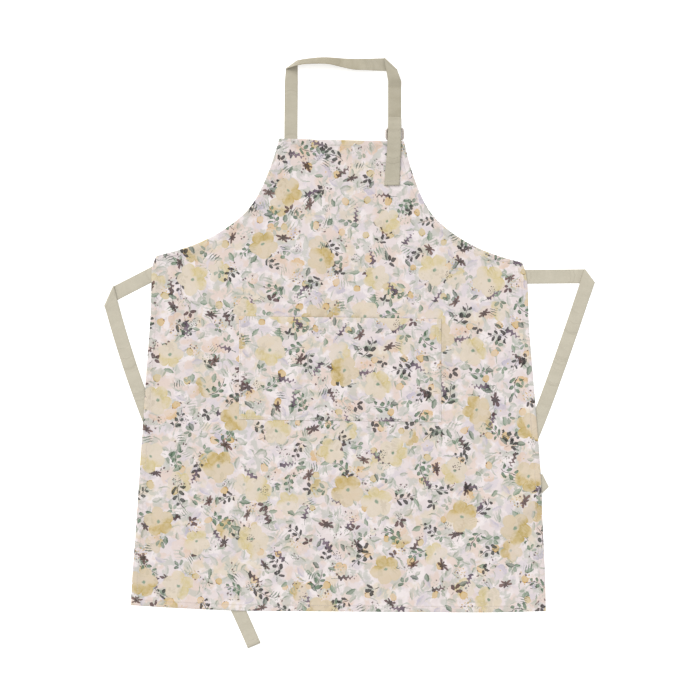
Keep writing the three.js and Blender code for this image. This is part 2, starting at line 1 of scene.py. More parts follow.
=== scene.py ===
"""A kitchen apron of printed cotton, lying front up on a pale table.

The sizes are those of the cutting plan, in millimetres, and a mesh turns them into metres. X runs
to the wearer's left, Y from the bottom hem to the bib and Z up from the table. The origin is the
middle of the cloth panel's underside. The panel, the pocket and the tapes are surfaces over a
grid, worked out as whole arrays. The cotton's print is a set of motifs of the script's own, which
the material paints one over another.
"""

import logging
import math
from dataclasses import dataclass, field
from enum import Enum
from functools import reduce
from typing import Callable, Sequence

import bpy
import numpy as np
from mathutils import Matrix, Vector


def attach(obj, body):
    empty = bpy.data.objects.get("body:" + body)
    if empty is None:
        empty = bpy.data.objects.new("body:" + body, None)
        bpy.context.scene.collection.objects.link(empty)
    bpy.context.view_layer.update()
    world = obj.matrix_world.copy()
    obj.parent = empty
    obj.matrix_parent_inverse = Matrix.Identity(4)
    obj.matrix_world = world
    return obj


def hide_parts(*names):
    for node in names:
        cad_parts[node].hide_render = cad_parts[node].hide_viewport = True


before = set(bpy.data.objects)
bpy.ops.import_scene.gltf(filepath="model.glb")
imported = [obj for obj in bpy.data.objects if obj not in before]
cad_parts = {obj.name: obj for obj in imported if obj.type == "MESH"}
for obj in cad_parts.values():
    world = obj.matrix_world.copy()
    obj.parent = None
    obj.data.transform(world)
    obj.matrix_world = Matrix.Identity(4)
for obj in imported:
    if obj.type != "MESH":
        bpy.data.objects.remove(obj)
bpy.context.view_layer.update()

LOG = logging.getLogger("apron")
MM = 0.001
BODY = "root"

Array = np.ndarray
Socket = bpy.types.NodeSocket
Colour = tuple[float, float, float]


def fall(t: Array | float) -> Array:
    """A smooth fall from 1 to 0 while t goes from 0 to 1.

    Args:
        t: The share of the way, of any shape.

    Returns:
        1 - t * t * (3 - 2 * t), with t held between 0 and 1.
    """
    s = np.clip(t, 0.0, 1.0)
    return 1.0 - s * s * (3.0 - 2.0 * s)


def through(keys: Sequence[float], values: Sequence[float], at: Array | float) -> Array:
    """A smooth curve through a table's rows.

    Each piece is a cubic whose slope at a row is that of the line between its two neighbours.

    Args:
        keys: The rows' places, rising.
        values: The rows' values.
        at: The places to read.

    Returns:
        The curve's values there.
    """
    x = np.asarray(keys, float)
    y = np.asarray(values, float)
    at = np.asarray(at, float)
    rows = np.arange(len(x))
    before = np.maximum(rows - 1, 0)
    after = np.minimum(rows + 1, len(x) - 1)
    slope = (y[after] - y[before]) / (x[after] - x[before])
    i = np.clip(np.searchsorted(x, at) - 1, 0, len(x) - 2)
    width = x[i + 1] - x[i]
    t = (at - x[i]) / width
    rise = 3 * t**2 - 2 * t**3
    bend = t**3 - t**2
    ends = (1 - rise) * y[i] + rise * y[i + 1]
    return ends + (bend - t**2 + t) * width * slope[i] + bend * width * slope[i + 1]


@dataclass(frozen=True)
class Level:
    """A level of the panel: its half width, its height, and its shares of shift and slant."""

    half: float
    y: float
    mid: float
    lie: float


@dataclass(frozen=True)
class Bump:
    """A soft swell or crease of the lying cloth, in millimetres and degrees."""

    x: float
    y: float
    long: float
    wide: float
    turn: float
    rise: float


@dataclass(frozen=True)
class Run:
    """A run of a tie: its share of the tie's length, its first and last heading, and its end."""

    share: float
    first: float
    last: float
    folds: bool = False


@dataclass(frozen=True)
class Cloth:
    """Sizes of the panel's cloth, as cut and sewn."""

    length: float = 852.0
    bib_width: float = 227.0
    waist_width: float = 665.0
    hem_width: float = 755.0
    armhole_drop: float = 217.0
    thickness: float = 1.2
    hem_band: float = 12.0
    hem_raise: float = 0.6
    hem_step: float = 2.2
    bib_shift: float = 6.5
    slant: float = 6.0
    gap: float = 0.3
    seam: float = 10.5
    seam_dip: float = 0.35

    @property
    def top(self) -> float:
        """The bib's level above the origin."""
        return self.length / 2

    @property
    def waist(self) -> float:
        """The level of the side corners."""
        return self.top - self.armhole_drop

    @property
    def skirt(self) -> float:
        """The length of the skirt."""
        return self.length - self.armhole_drop


@dataclass(frozen=True)
class Tape:
    """Sizes of the tapes, the ring and how they lie."""

    neck_width: float = 24.0
    tie_width: float = 25.5
    thickness: float = 1.2
    fold_radius: float = 1.05
    sewn_lap: float = 32.0
    end_hem: float = 12.0
    neck_rise: float = 136.0
    neck_span: float = 181.0
    neck_lean: float = 2.2
    left_inset: float = 21.0
    right_inset: float = 17.0
    tail_drop: float = 83.0
    tail_shift: float = 3.0
    tie_length: float = 776.0
    tie_down: float = 30.0
    tie_offset: float = 4.0
    first_turn: float = 117.0
    ring_width: float = 34.0
    ring_height: float = 22.0
    wire_radius: float = 1.5
    ring_side: float = 0.8
    ring_corner: float = 3.0
    tab_leg: float = 30.0
    tail_flare: float = 3.5
    turn_back: float = 20.0
    laid_gap: float = 0.5
    step: float = 5.0
    fold_steps: int = 12


CLOTH = Cloth()
TAPE = Tape()
BIB = Level(CLOTH.bib_width / 2, CLOTH.top, 1.0, 0.45)
WAIST = Level(CLOTH.waist_width / 2, CLOTH.waist, 0.35, 1.0)
HEM = Level(CLOTH.hem_width / 2, -CLOTH.top, 0.08, 0.9)

ARMHOLE_DOWN = (0, 0.15, 0.3, 0.45, 0.58, 0.68, 0.77, 0.85, 0.92, 0.965, 1)
ARMHOLE_OUT = (0, 0.04, 0.09, 0.152, 0.228, 0.322, 0.438, 0.572, 0.73, 0.87, 1)
SIDE_DOWN = (0, 0.03, 0.08, 0.18, 0.32, 0.45, 0.58, 0.7, 0.82, 0.92, 1)
SIDE_OUT = {
    -1: (0, 0.17, 0.2, 0.25, 0.39, 0.5, 0.63, 0.735, 0.85, 0.95, 1),
    1: (0, 0.15, 0.235, 0.29, 0.45, 0.6, 0.75, 0.83, 0.92, 0.98, 1),
}
SAG_ACROSS = (0, 0.09, 0.25, 0.5, 0.85, 1)
SAG = (0, 0.0045, 0.009, 0.008, 0.0055, 0)

SWELLS = (
    Bump(211, -136, 113, 51, 64, 1.9),
    Bump(-128, -281, 151, 51, 12, 1.8),
    Bump(151, -341, 136, 43, -16, 1.6),
    Bump(-75, 204, 106, 51, -52, 1.8),
    Bump(166, 162, 98, 43, 28, 1.7),
    Bump(-287, -102, 91, 43, 84, 1.4),
)
CREASES = (
    Bump(-255, 150, 90, 9, 38, 0.9),
    Bump(262, 128, 84, 8, -34, 0.8),
    Bump(-215, 60, 130, 12, 62, 0.7),
    Bump(236, 20, 120, 11, -70, 0.7),
    Bump(-60, -190, 170, 13, 8, 0.6),
    Bump(110, -236, 150, 11, -12, 0.6),
    Bump(-230, -300, 110, 10, 74, 0.8),
    Bump(285, -260, 120, 10, -80, 0.8),
    Bump(20, 300, 90, 9, 24, 0.6),
    Bump(-30, -370, 160, 10, 3, 0.6),
    Bump(60, 150, 150, 12, 80, 0.5),
)

LEFT_TIE = (
    Run(0.1115, 207.2, 207.2, folds=True),
    Run(0.218, -75.5, -70.5),
    Run(0.291, -70.5, -63.5),
    Run(0.291, -63.5, -65),
    Run(0.0885, -65, -67),
)
RIGHT_TIE = (
    Run(0.1475, 0.5, 0.5, folds=True),
    Run(0.262, -108, -110),
    Run(0.269, -109.5, -116, folds=True),
    Run(0.0865, 10.6, 10.6, folds=True),
    Run(0.235, -138, -138),
)

OUT_ALONG = (0.059, 0.097, 0.147, 0.212, 0.303, 0.403, 0.504, 0.614, 0.725, 0.815, 0.881, 0.926)
OUT_UP = (0.326, 0.379, 0.47, 0.546, 0.6, 0.584, 0.523, 0.493, 0.493, 0.508, 0.523, 0.531)
OUT_HIGH = (0, 0.12, 0.08, 0, 0, 0, 0, 0, 0, 0, 0, 0)
IN_ALONG = (-0.059, 0.001, 0.061, 0.142, 0.252, 0.373, 0.494, 0.624, 0.755, 0.876, 0.976, 1.06)
IN_UP = (-0.326, -0.228, -0.129, -0.05, -0.012, -0.042, -0.232, -0.404, -0.429, -0.437, -0.432,
         -0.402)
IN_HIGH = (0, 0.36, 0.72, 0.84, 0.81, 0.77, 0.65, 0.44, 0.34, 0.1, 0.03, 0)

# How much soil and painted shade darken the neck strap along its length, in millimetres. The
# painted shade evens out the light on its lit, banked top stretch.
SHADE_AND_SOIL_ALONG = (0, 150, 200, 245, 300, 340, 450, 485, 700)
SHADE_AND_SOIL = (0, 0.1, 0.95, 1, 0.4, 0.25, 0.45, 0.2, 0.1)


def edge_point(hand: int, above: Level, below: Level, out: Array, down: Array) -> Array:
    """A point of the panel's left (-1) or right (1) edge between two levels.

    Args:
        hand: The side.
        above: The upper level.
        below: The lower level.
        out: The share of the widening there.
        down: The share of the way down.

    Returns:
        The points, with x and y last.
    """
    half = above.half + (below.half - above.half) * out
    mid = CLOTH.bib_shift * (above.mid + (below.mid - above.mid) * down)
    lie = CLOTH.slant * (above.lie + (below.lie - above.lie) * down)
    y = above.y + (below.y - above.y) * down
    return np.stack([mid + hand * half, y - hand * lie], axis=-1)


def side_edge(hand: int, level: Array | float) -> Array:
    """A point of the panel's edge: the armhole for levels 0 to 1 and the skirt's side from 1 to 2.

    Args:
        hand: The side.
        level: The level.

    Returns:
        The points, with x and y last.
    """
    level = np.asarray(level, float)
    upper = np.clip(level, 0, 1)
    lower = np.clip(level - 1, 0, 1)
    armhole = edge_point(hand, BIB, WAIST, through(ARMHOLE_DOWN, ARMHOLE_OUT, upper), upper)
    side = edge_point(hand, WAIST, HEM, through(SIDE_DOWN, SIDE_OUT[hand], lower), lower)
    return np.where((level <= 1)[..., None], armhole, side)


def bib_top(x: Array | float) -> Array | float:
    """The level of the bib's top edge at x: a straight line that slants down to the right."""
    return CLOTH.top - CLOTH.slant * BIB.lie * (x - CLOTH.bib_shift) / BIB.half


def bumps_at(bumps: Sequence[Bump], x: Array, y: Array) -> Array:
    """The sum of soft oval bumps, each rise * (1 - r * r) ** 2 inside its oval.

    Args:
        bumps: The bumps.
        x: The places' x.
        y: The places' y.

    Returns:
        The height there.
    """
    total = np.zeros(np.broadcast(x, y).shape)
    for bump in bumps:
        turn = math.radians(bump.turn)
        dx, dy = x - bump.x, y - bump.y
        along = (dx * math.cos(turn) + dy * math.sin(turn)) / bump.long
        across = (dy * math.cos(turn) - dx * math.sin(turn)) / bump.wide
        total += bump.rise * (1 - np.minimum(along**2 + across**2, 1)) ** 2
    return total


@dataclass
class Ribbon:
    """A tape as cross lines from edge a to edge b, with what a doubled end adds to it."""

    a: Array
    b: Array
    extra: Array

    @property
    def first(self) -> "Ribbon":
        """The first cross line."""
        return self._some(slice(1))

    @property
    def last(self) -> "Ribbon":
        """The last cross line."""
        return self._some(slice(-1, None))

    @property
    def rest(self) -> "Ribbon":
        """All the cross lines but the first."""
        return self._some(slice(1, None))

    def _some(self, rows: slice) -> "Ribbon":
        """Some of the cross lines."""
        return Ribbon(self.a[rows], self.b[rows], self.extra[rows])

    @property
    def middle(self) -> Array:
        """The middle of each cross line."""
        return (self.a + self.b) / 2

    @property
    def along(self) -> Array:
        """How far along the tape each cross line stands."""
        steps = np.linalg.norm(np.diff(self.middle, axis=0), axis=1)
        return np.concatenate([[0.0], np.cumsum(steps)])

    def then(self, *others: "Ribbon") -> "Ribbon":
        """This ribbon, with others after it."""
        parts = [(part.a, part.b, part.extra) for part in (self, *others)]
        return Ribbon(*(np.concatenate(values) for values in zip(*parts)))

    def fold(self, heading: float, radius: float, turn: float = 180.0) -> "Ribbon":
        """The turn of the tape about its last cross line, on an arc that rises from it.

        Args:
            heading: The way that the tape was going, in degrees.
            radius: The arc's radius.
            turn: The arc's angle in degrees.

        Returns:
            The arc's cross lines.
        """
        line = self.last
        along = (line.b - line.a)[0]
        along /= np.linalg.norm(along)
        way = np.array([math.cos(math.radians(heading)), math.sin(math.radians(heading)), 0.0])
        way -= along * way.dot(along)
        way /= np.linalg.norm(way)
        angle = np.radians(turn) * np.arange(1, TAPE.fold_steps + 1)[:, None] / TAPE.fold_steps
        move = radius * np.sin(angle) * way + radius * (1 - np.cos(angle)) * np.array([0, 0, 1.0])
        return Ribbon(line.a + move, line.b + move, np.zeros(len(move)))

    def straight_to(self, target: "Ribbon", step: float | None = None) -> "Ribbon":
        """Evenly moving cross lines from the last one, left out, to another.

        Args:
            target: The cross line to reach.
            step: The distance between cross lines.

        Returns:
            The cross lines.
        """
        line = self.last
        length = float(np.linalg.norm(target.middle[0] - line.middle[0]))
        steps = max(round(length / (step or TAPE.step)), 2)
        share = np.arange(1, steps + 1)[:, None] / steps
        return Ribbon(
            line.a + (target.a - line.a) * share,
            line.b + (target.b - line.b) * share,
            np.zeros(steps),
        )


def square_line(x: float, y: float, z: float, hand: int) -> Ribbon:
    """A cross line of the neck strap, square to Y, with edge a on the left (1) or right (-1)."""
    reach = hand * TAPE.neck_width / 2
    return Ribbon(np.array([[x - reach, y, z]]), np.array([[x + reach, y, z]]), np.zeros(1))


def same_line(angle: float, near: float) -> float:
    """The angle nearest to another one that means the same line, in degrees."""
    return angle + 180.0 * round((near - angle) / 180.0)


@dataclass
class TieLayer:
    """Lays a tie along the runs of its table, folded over where a run says so.

    Cross lines stand square to the run and turn to the fold line over one tape width. Past a fold
    the tape lies on the run before it until the two part, and then comes down to the table. start
    is the point of the panel's edge that the tie leaves from.
    """

    start: Array
    runs: Sequence[Run]
    width: float = TAPE.tie_width
    fewest_steps: int = 3
    lower: Callable[[Array], Array] | None = None
    travelled: float = 0.0
    stay: float = 0.0

    def __post_init__(self) -> None:
        """Step back from the panel's edge to the tie's sewn end."""
        first = math.radians(self.runs[0].first)
        self.spot = self.start - TAPE.sewn_lap * np.array([math.cos(first), math.sin(first)])

    def lift(self) -> Callable[[Array], Array]:
        """The height of the present run's tape off the table.

        It is a fold's height above the run beneath, and falls to 0 where the two runs part.

        Returns:
            A function of the distance along the run.
        """
        lower, travelled, stay, width = self.lower, self.travelled, self.stay, self.width
        if lower is None:
            return np.zeros_like

        def at(distance: Array) -> Array:
            """The height over the highest of what lies beneath the tape's middle and edges.

            Args:
                distance: The distance along the run.

            Returns:
                The height there.
            """
            past = travelled + distance
            beneath = np.max([lower(past + side * width) for side in (-0.5, 0.0, 0.5)], axis=0)
            return (2 * TAPE.fold_radius + beneath) * fall((past - stay) / width)

        return at

    def lay(self) -> Ribbon:
        """Lay the runs one after another, each from where the last one ends.

        Returns:
            The whole tie.
        """
        made: Ribbon | None = None
        before: float | None = None
        square = self.runs[0].first - 90.0
        for index, row in enumerate(self.runs):
            length = row.share * TAPE.tie_length + (TAPE.sewn_lap if made is None else 0)
            square = same_line(row.first - 90.0, square if before is None else before)
            following = self.runs[index + 1].first if row.folds else 0.0
            after = same_line((row.last + following) / 2, square) if row.folds else None
            lift = self.lift()
            piece = self._run(row, length, square, before, after)
            piece.a[:, 2] += lift(np.linspace(0, length, len(piece.a)))
            piece.b[:, 2] = piece.a[:, 2]
            made = piece if made is None else made.then(piece.rest)
            self.travelled += length
            square += row.last - row.first
            before = after
            if row.folds:
                made = made.then(made.fold(row.last, TAPE.fold_radius))
                leaving = math.radians(following - row.last)
                part = self.width / 2 * (1 - math.cos(leaving)) / abs(math.sin(leaving))
                self.stay = part + TAPE.thickness
                self.travelled = 0.0
                self.lower = lambda back, on=lift, end=length: on(np.maximum(end - back, 0))
            elif self.travelled > self.stay + self.width:
                self.lower = None
        return made

    def _run(self, row: Run, length: float, square: float, before: float | None,
             after: float | None) -> Ribbon:
        """One run on the table, its cross lines turned to the fold lines at its ends.

        Args:
            row: The run.
            length: The run's length.
            square: The direction square to the run's start, in degrees.
            before: The direction of the fold line that the run comes from, if any.
            after: The direction of the fold line that it goes to, if any.

        Returns:
            The run, with the turned hem on the last one's end.
        """
        steps = max(round(length / TAPE.step), self.fewest_steps)
        share = np.arange(steps + 1) / steps
        heading = row.first + (row.last - row.first) * share
        halfway = np.radians(row.first + (row.last - row.first) * (share[1:] - 0.5 / steps))
        moves = length / steps * np.stack([np.cos(halfway), np.sin(halfway)], axis=1)
        spots = self.spot + np.concatenate([np.zeros((1, 2)), np.cumsum(moves, axis=0)])
        self.spot = spots[-1]
        direction = square + (heading - row.first)
        for line, away in ((before, share), (after, 1 - share)):
            if line is not None:
                direction = direction + (line - direction) * fall(away * length / self.width)
        reach = self.width / 2 / np.abs(np.sin(np.radians(direction - heading)))
        turned = np.radians(direction)
        arm = reach[:, None] * np.stack([np.cos(turned), np.sin(turned), 0 * turned], axis=1)
        middle = np.column_stack([spots, np.full(len(share), TAPE.thickness / 2)])
        at_end = (row is self.runs[-1]) & ((1 - share) * length < TAPE.end_hem)
        return Ribbon(middle - arm, middle + arm, np.where(at_end, TAPE.thickness, 0.0))


@dataclass
class LyingCloth:
    """The heights of the cloth: over the tapes beneath it, with soft swells and creases.

    A tape beneath lifts the cloth by its own height, for a margin beside it, and the cloth comes
    down over a ramp.
    """

    beneath: Ribbon
    margin: float = 4.0
    ramp: float = 22.0

    def lift(self, x: Array, y: Array) -> Array:
        """How far the tapes beneath lift the cloth at places in plan.

        Args:
            x: The places' x.
            y: The places' y.

        Returns:
            The lift.
        """
        spots = np.stack([np.ravel(x), np.ravel(y)], axis=1)
        a, b = self.beneath.a[:, :2], self.beneath.b[:, :2]
        high = np.maximum(self.beneath.a[:, 2], self.beneath.b[:, 2])
        high = high + TAPE.thickness / 2 + self.beneath.extra + CLOTH.gap
        result = np.zeros(len(spots))
        for start, way, height in zip(a, b - a, high):
            share = np.clip((spots - start) @ way / way.dot(way), 0, 1)
            away = np.linalg.norm(spots - start - share[:, None] * way, axis=1)
            result = np.maximum(result, height * fall((away - self.margin) / self.ramp))
        return result.reshape(np.shape(x))

    def under(self, x: Array, y: Array) -> Array:
        """The height of the cloth's underside: lift, swells and creases."""
        return self.lift(x, y) + bumps_at(SWELLS, x, y) + bumps_at(CREASES, x, y)

    def front(self, x: Array, y: Array) -> Array:
        """The height of the front under the neck strap, with the hems that it crosses.

        Args:
            x: The places' x.
            y: The places' y.

        Returns:
            The front's height there.
        """
        level = np.maximum((CLOTH.top - y) / CLOTH.armhole_drop, 0)
        armhole_x = side_edge(1, level)[..., 0]
        band, step = CLOTH.hem_band, CLOTH.hem_step
        in_top = fall((bib_top(x) - y - band) / step)
        in_side = fall((armhole_x - x - TAPE.neck_width / 2 - band) / step - 1)
        hem = CLOTH.hem_raise * np.maximum(in_top, in_side)
        return self.under(x, y) + CLOTH.thickness + hem


@dataclass
class NeckLoop:
    """The neck strap's way, with the ring and the tab that holds it.

    The strap runs up from behind the bib's left corner, folds over, crosses to the right with its
    inner edge standing, folds flat, runs down under the ring's upper bar and round it, and turns
    down again over the ring and the bib.
    """

    turn_before: float = 1.3
    square_after: float = 1.25
    flat_after: float = 2.5
    rise: float = 0.18
    peak: float = 0.325
    down: float = 0.9
    ease_share: float = 0.25
    fine_step: float = 2.5
    descent_step: float = 3.0
    lap_lines: int = 5
    wire_sides: int = 16
    corner_points: int = 9

    def __post_init__(self) -> None:
        """Work out the levels of the ring and the strap from the cutting plan."""
        self.left_x = CLOTH.bib_shift - BIB.half + TAPE.left_inset
        self.right_x = CLOTH.bib_shift + BIB.half - TAPE.right_inset
        self.top_level = CLOTH.top + TAPE.neck_rise
        spare = self.right_x - self.left_x - TAPE.neck_span
        self.top_start = self.left_x + spare / 2 - TAPE.neck_lean
        self.wrap = TAPE.wire_radius + CLOTH.gap + TAPE.thickness / 2
        self.ring_z = TAPE.thickness / 2 + self.wrap
        clear = TAPE.wire_radius + CLOTH.gap + TAPE.thickness + CLOTH.gap
        self.low_bar = bib_top(self.right_x) + clear
        self.high_bar = self.low_bar + TAPE.ring_height - 2 * TAPE.wire_radius
        self.bar_z = self.ring_z + self.wrap
        self.tail_z = self.bar_z + 2 * TAPE.fold_radius
        self.settle = self.bar_z - TAPE.thickness / 2 - TAPE.thickness - TAPE.laid_gap

    def sewn_ends(self) -> Ribbon:
        """The strap's and the tab's ends that lie behind the bib.

        Returns:
            Their cross lines.
        """
        flat = TAPE.thickness / 2
        lines = []
        for x, lap in ((self.left_x, TAPE.sewn_lap), (self.right_x, TAPE.tab_leg)):
            drops = np.linspace(0, lap, self.lap_lines)
            lines += [square_line(x, bib_top(x) - drop, flat, 1) for drop in drops]
        return lines[0].then(*lines[1:])

    def top_stretch(self) -> Ribbon:
        """The cross lines between the loop's two folds.

        Returns:
            The stretch, with its inner edge as edge a.
        """
        inner = self._edge(IN_ALONG, IN_UP, IN_HIGH)
        outer = self._edge(OUT_ALONG, OUT_UP, OUT_HIGH)
        return Ribbon(inner, outer, np.zeros(len(inner)))

    def _edge(self, along: Sequence[float], up: Sequence[float], high: Sequence[float]) -> Array:
        """An edge of the top stretch, on smooth curves through three tables.

        Args:
            along: The rows' shares of the loop's span.
            up: Their levels past the loop's top, in tape widths.
            high: Their heights off the table, in tape widths.

        Returns:
            The edge's points.
        """
        rows = range(len(along))
        at = np.linspace(0, len(along) - 1, 4 * len(along))
        return np.column_stack([
            self.top_start + through(rows, along, at) * TAPE.neck_span,
            self.top_level + through(rows, up, at) * TAPE.neck_width,
            TAPE.thickness / 2 + np.maximum(through(rows, high, at), 0) * TAPE.neck_width,
        ])

    def strap(self, cloth: LyingCloth) -> Ribbon:
        """The whole strap.

        Args:
            cloth: The cloth that the strap's tail lies on.

        Returns:
            The strap as a ribbon.
        """
        flat = TAPE.thickness / 2
        top = self.top_stretch()
        fold = top.first.fold(90, TAPE.fold_radius, TAPE.first_turn)
        raised = fold.last.a - top.first.a
        ease = fall(np.arange(len(top.a)) / len(top.a) / self.ease_share)[:, None]
        eased = Ribbon(top.a + raised * ease, top.b + raised * ease, top.extra)
        turn_level = self.top_level - self.turn_before * TAPE.neck_width
        near_fold = square_line((self.left_x + self.top_start) / 2, turn_level, flat, 1)
        line = square_line(self.left_x, bib_top(self.left_x) - TAPE.sewn_lap, flat, 1)
        line = line.then(line.straight_to(near_fold))
        line = line.then(line.straight_to(top.first, self.fine_step), fold, eased.rest)
        line = line.then(line.fold(0, TAPE.fold_radius))
        line = line.then(self._coming_down(line.last))
        line = line.then(line.straight_to(square_line(self.right_x, self.high_bar, flat, -1)))
        line = line.then(line.fold(-90, self.wrap))
        back_z = self.bar_z - self.settle
        back = square_line(self.right_x, self.high_bar + TAPE.turn_back, back_z, -1)
        line = line.then(line.straight_to(back))
        line = line.then(line.fold(90, TAPE.fold_radius))
        end_y = CLOTH.top - TAPE.tail_drop
        end = square_line(self.right_x - TAPE.tail_shift, end_y, 0, -1)
        tail = line.straight_to(end, self.fine_step)
        spots = tail.middle
        tail.a[:, 2] = self._tail_height(cloth, spots[:, 0], spots[:, 1])
        tail.b[:, 2] = tail.a[:, 2]
        past_ring = (self.low_bar - spots[:, 1]) / TAPE.tail_drop
        tail.b[:, 0] -= TAPE.tail_flare * (1 - fall(past_ring))
        tail.extra = np.where(spots[:, 1] - end_y < TAPE.end_hem, TAPE.thickness, 0.0)
        return line.then(tail)

    def _coming_down(self, corner: Ribbon) -> Ribbon:
        """The right run below the second fold, over the standing edge and down to the table.

        Args:
            corner: The fold's last cross line.

        Returns:
            The run.
        """
        flat = TAPE.thickness / 2
        width = TAPE.neck_width
        turned = square_line(self.right_x, self.top_level - self.square_after * width, flat, -1)
        below = square_line(self.right_x, self.top_level - self.flat_after * width, flat, -1)
        upper = corner.straight_to(turned, self.descent_step)
        lines = upper.then(upper.straight_to(below, self.descent_step))
        share = np.arange(1, len(lines.a) + 1) / len(lines.a)
        over = self.rise * width * np.sin(np.pi / 2 * np.minimum(share / self.peak, 2))
        start = corner.a[0, 2]
        lines.a[:, 2] = flat + (start - flat) * fall(share / self.down) + over
        lines.b[:, 2] = lines.a[:, 2]
        return lines

    def _tail_height(self, cloth: LyingCloth, x: Array, y: Array) -> Array:
        """The middle height of the strap's tail: on the ring, on the tab and on the bib.

        Args:
            cloth: The cloth that it lies on.
            x: The places' x.
            y: The places' y.

        Returns:
            The height there.
        """
        thick, gap = TAPE.thickness, TAPE.laid_gap
        on_bib = cloth.front(x, y) + gap + thick / 2
        tab_end = bib_top(self.right_x) - TAPE.tab_leg
        on_tab = on_bib + (thick + gap) * fall((tab_end - thick - y) / TAPE.neck_width)
        past_bar = (self.low_bar - self.wrap - y) / TAPE.neck_width
        before_bar = (y - self.high_bar) / TAPE.turn_back
        settled = self.settle * (1 - fall(before_bar))
        return on_tab + (self.tail_z - on_tab) * fall(past_bar) - settled

    def tab(self, cloth: LyingCloth) -> Ribbon:
        """The ring's tab: up behind the bib, round the lower bar and down on the bib's front.

        Args:
            cloth: The cloth that the tab's front leg lies on.

        Returns:
            The tab as a ribbon.
        """
        flat = TAPE.thickness / 2
        foot = bib_top(self.right_x) - TAPE.tab_leg
        line = square_line(self.right_x, foot, flat, 1)
        line = line.then(line.straight_to(square_line(self.right_x, self.low_bar, flat, 1)))
        line = line.then(line.fold(90, self.wrap))
        front = line.straight_to(square_line(self.right_x, foot, 0, 1), self.fine_step)
        y = front.middle[:, 1]
        on_bib = cloth.front(front.middle[:, 0], y) + CLOTH.gap + flat
        raised = (self.bar_z - on_bib) * fall((self.low_bar - y) / (3 * self.wrap))
        front.a[:, 2] = on_bib + np.maximum(raised, 0)
        front.b[:, 2] = front.a[:, 2]
        return line.then(front)

    def ring(self) -> "Surface":
        """The ring: a wire along a rectangle with round corners, lying level.

        The wire is round at the two bars and broader inwards at the two sides.

        Returns:
            The surface.
        """
        corner = TAPE.ring_corner
        reach = np.array([TAPE.ring_width / 2, TAPE.ring_height / 2]) - TAPE.wire_radius - corner
        count, sides = self.corner_points, self.wire_sides
        angle = (np.arange(4)[:, None] * 90 + np.linspace(0, 90, count)).ravel()
        signs = np.repeat([[1, 1], [-1, 1], [-1, -1], [1, -1]], count, axis=0)
        outward = np.stack([np.cos(np.radians(angle)), np.sin(np.radians(angle))], axis=1)
        centre = np.array([self.right_x, (self.low_bar + self.high_bar) / 2])
        path = centre + signs * reach + corner * outward
        broad = TAPE.ring_side * outward[:, :1] ** 2
        turn = 2 * np.pi * np.arange(sides) / sides
        across = ((TAPE.wire_radius + broad) * np.cos(turn) - broad)[..., None]
        plan = path[:, None] + outward[:, None] * across
        z = self.ring_z + TAPE.wire_radius * np.sin(turn)
        points = np.concatenate([plan, np.broadcast_to(z[:, None], (len(path), sides, 1))], axis=2)
        return Surface.tube(points, closed=True)


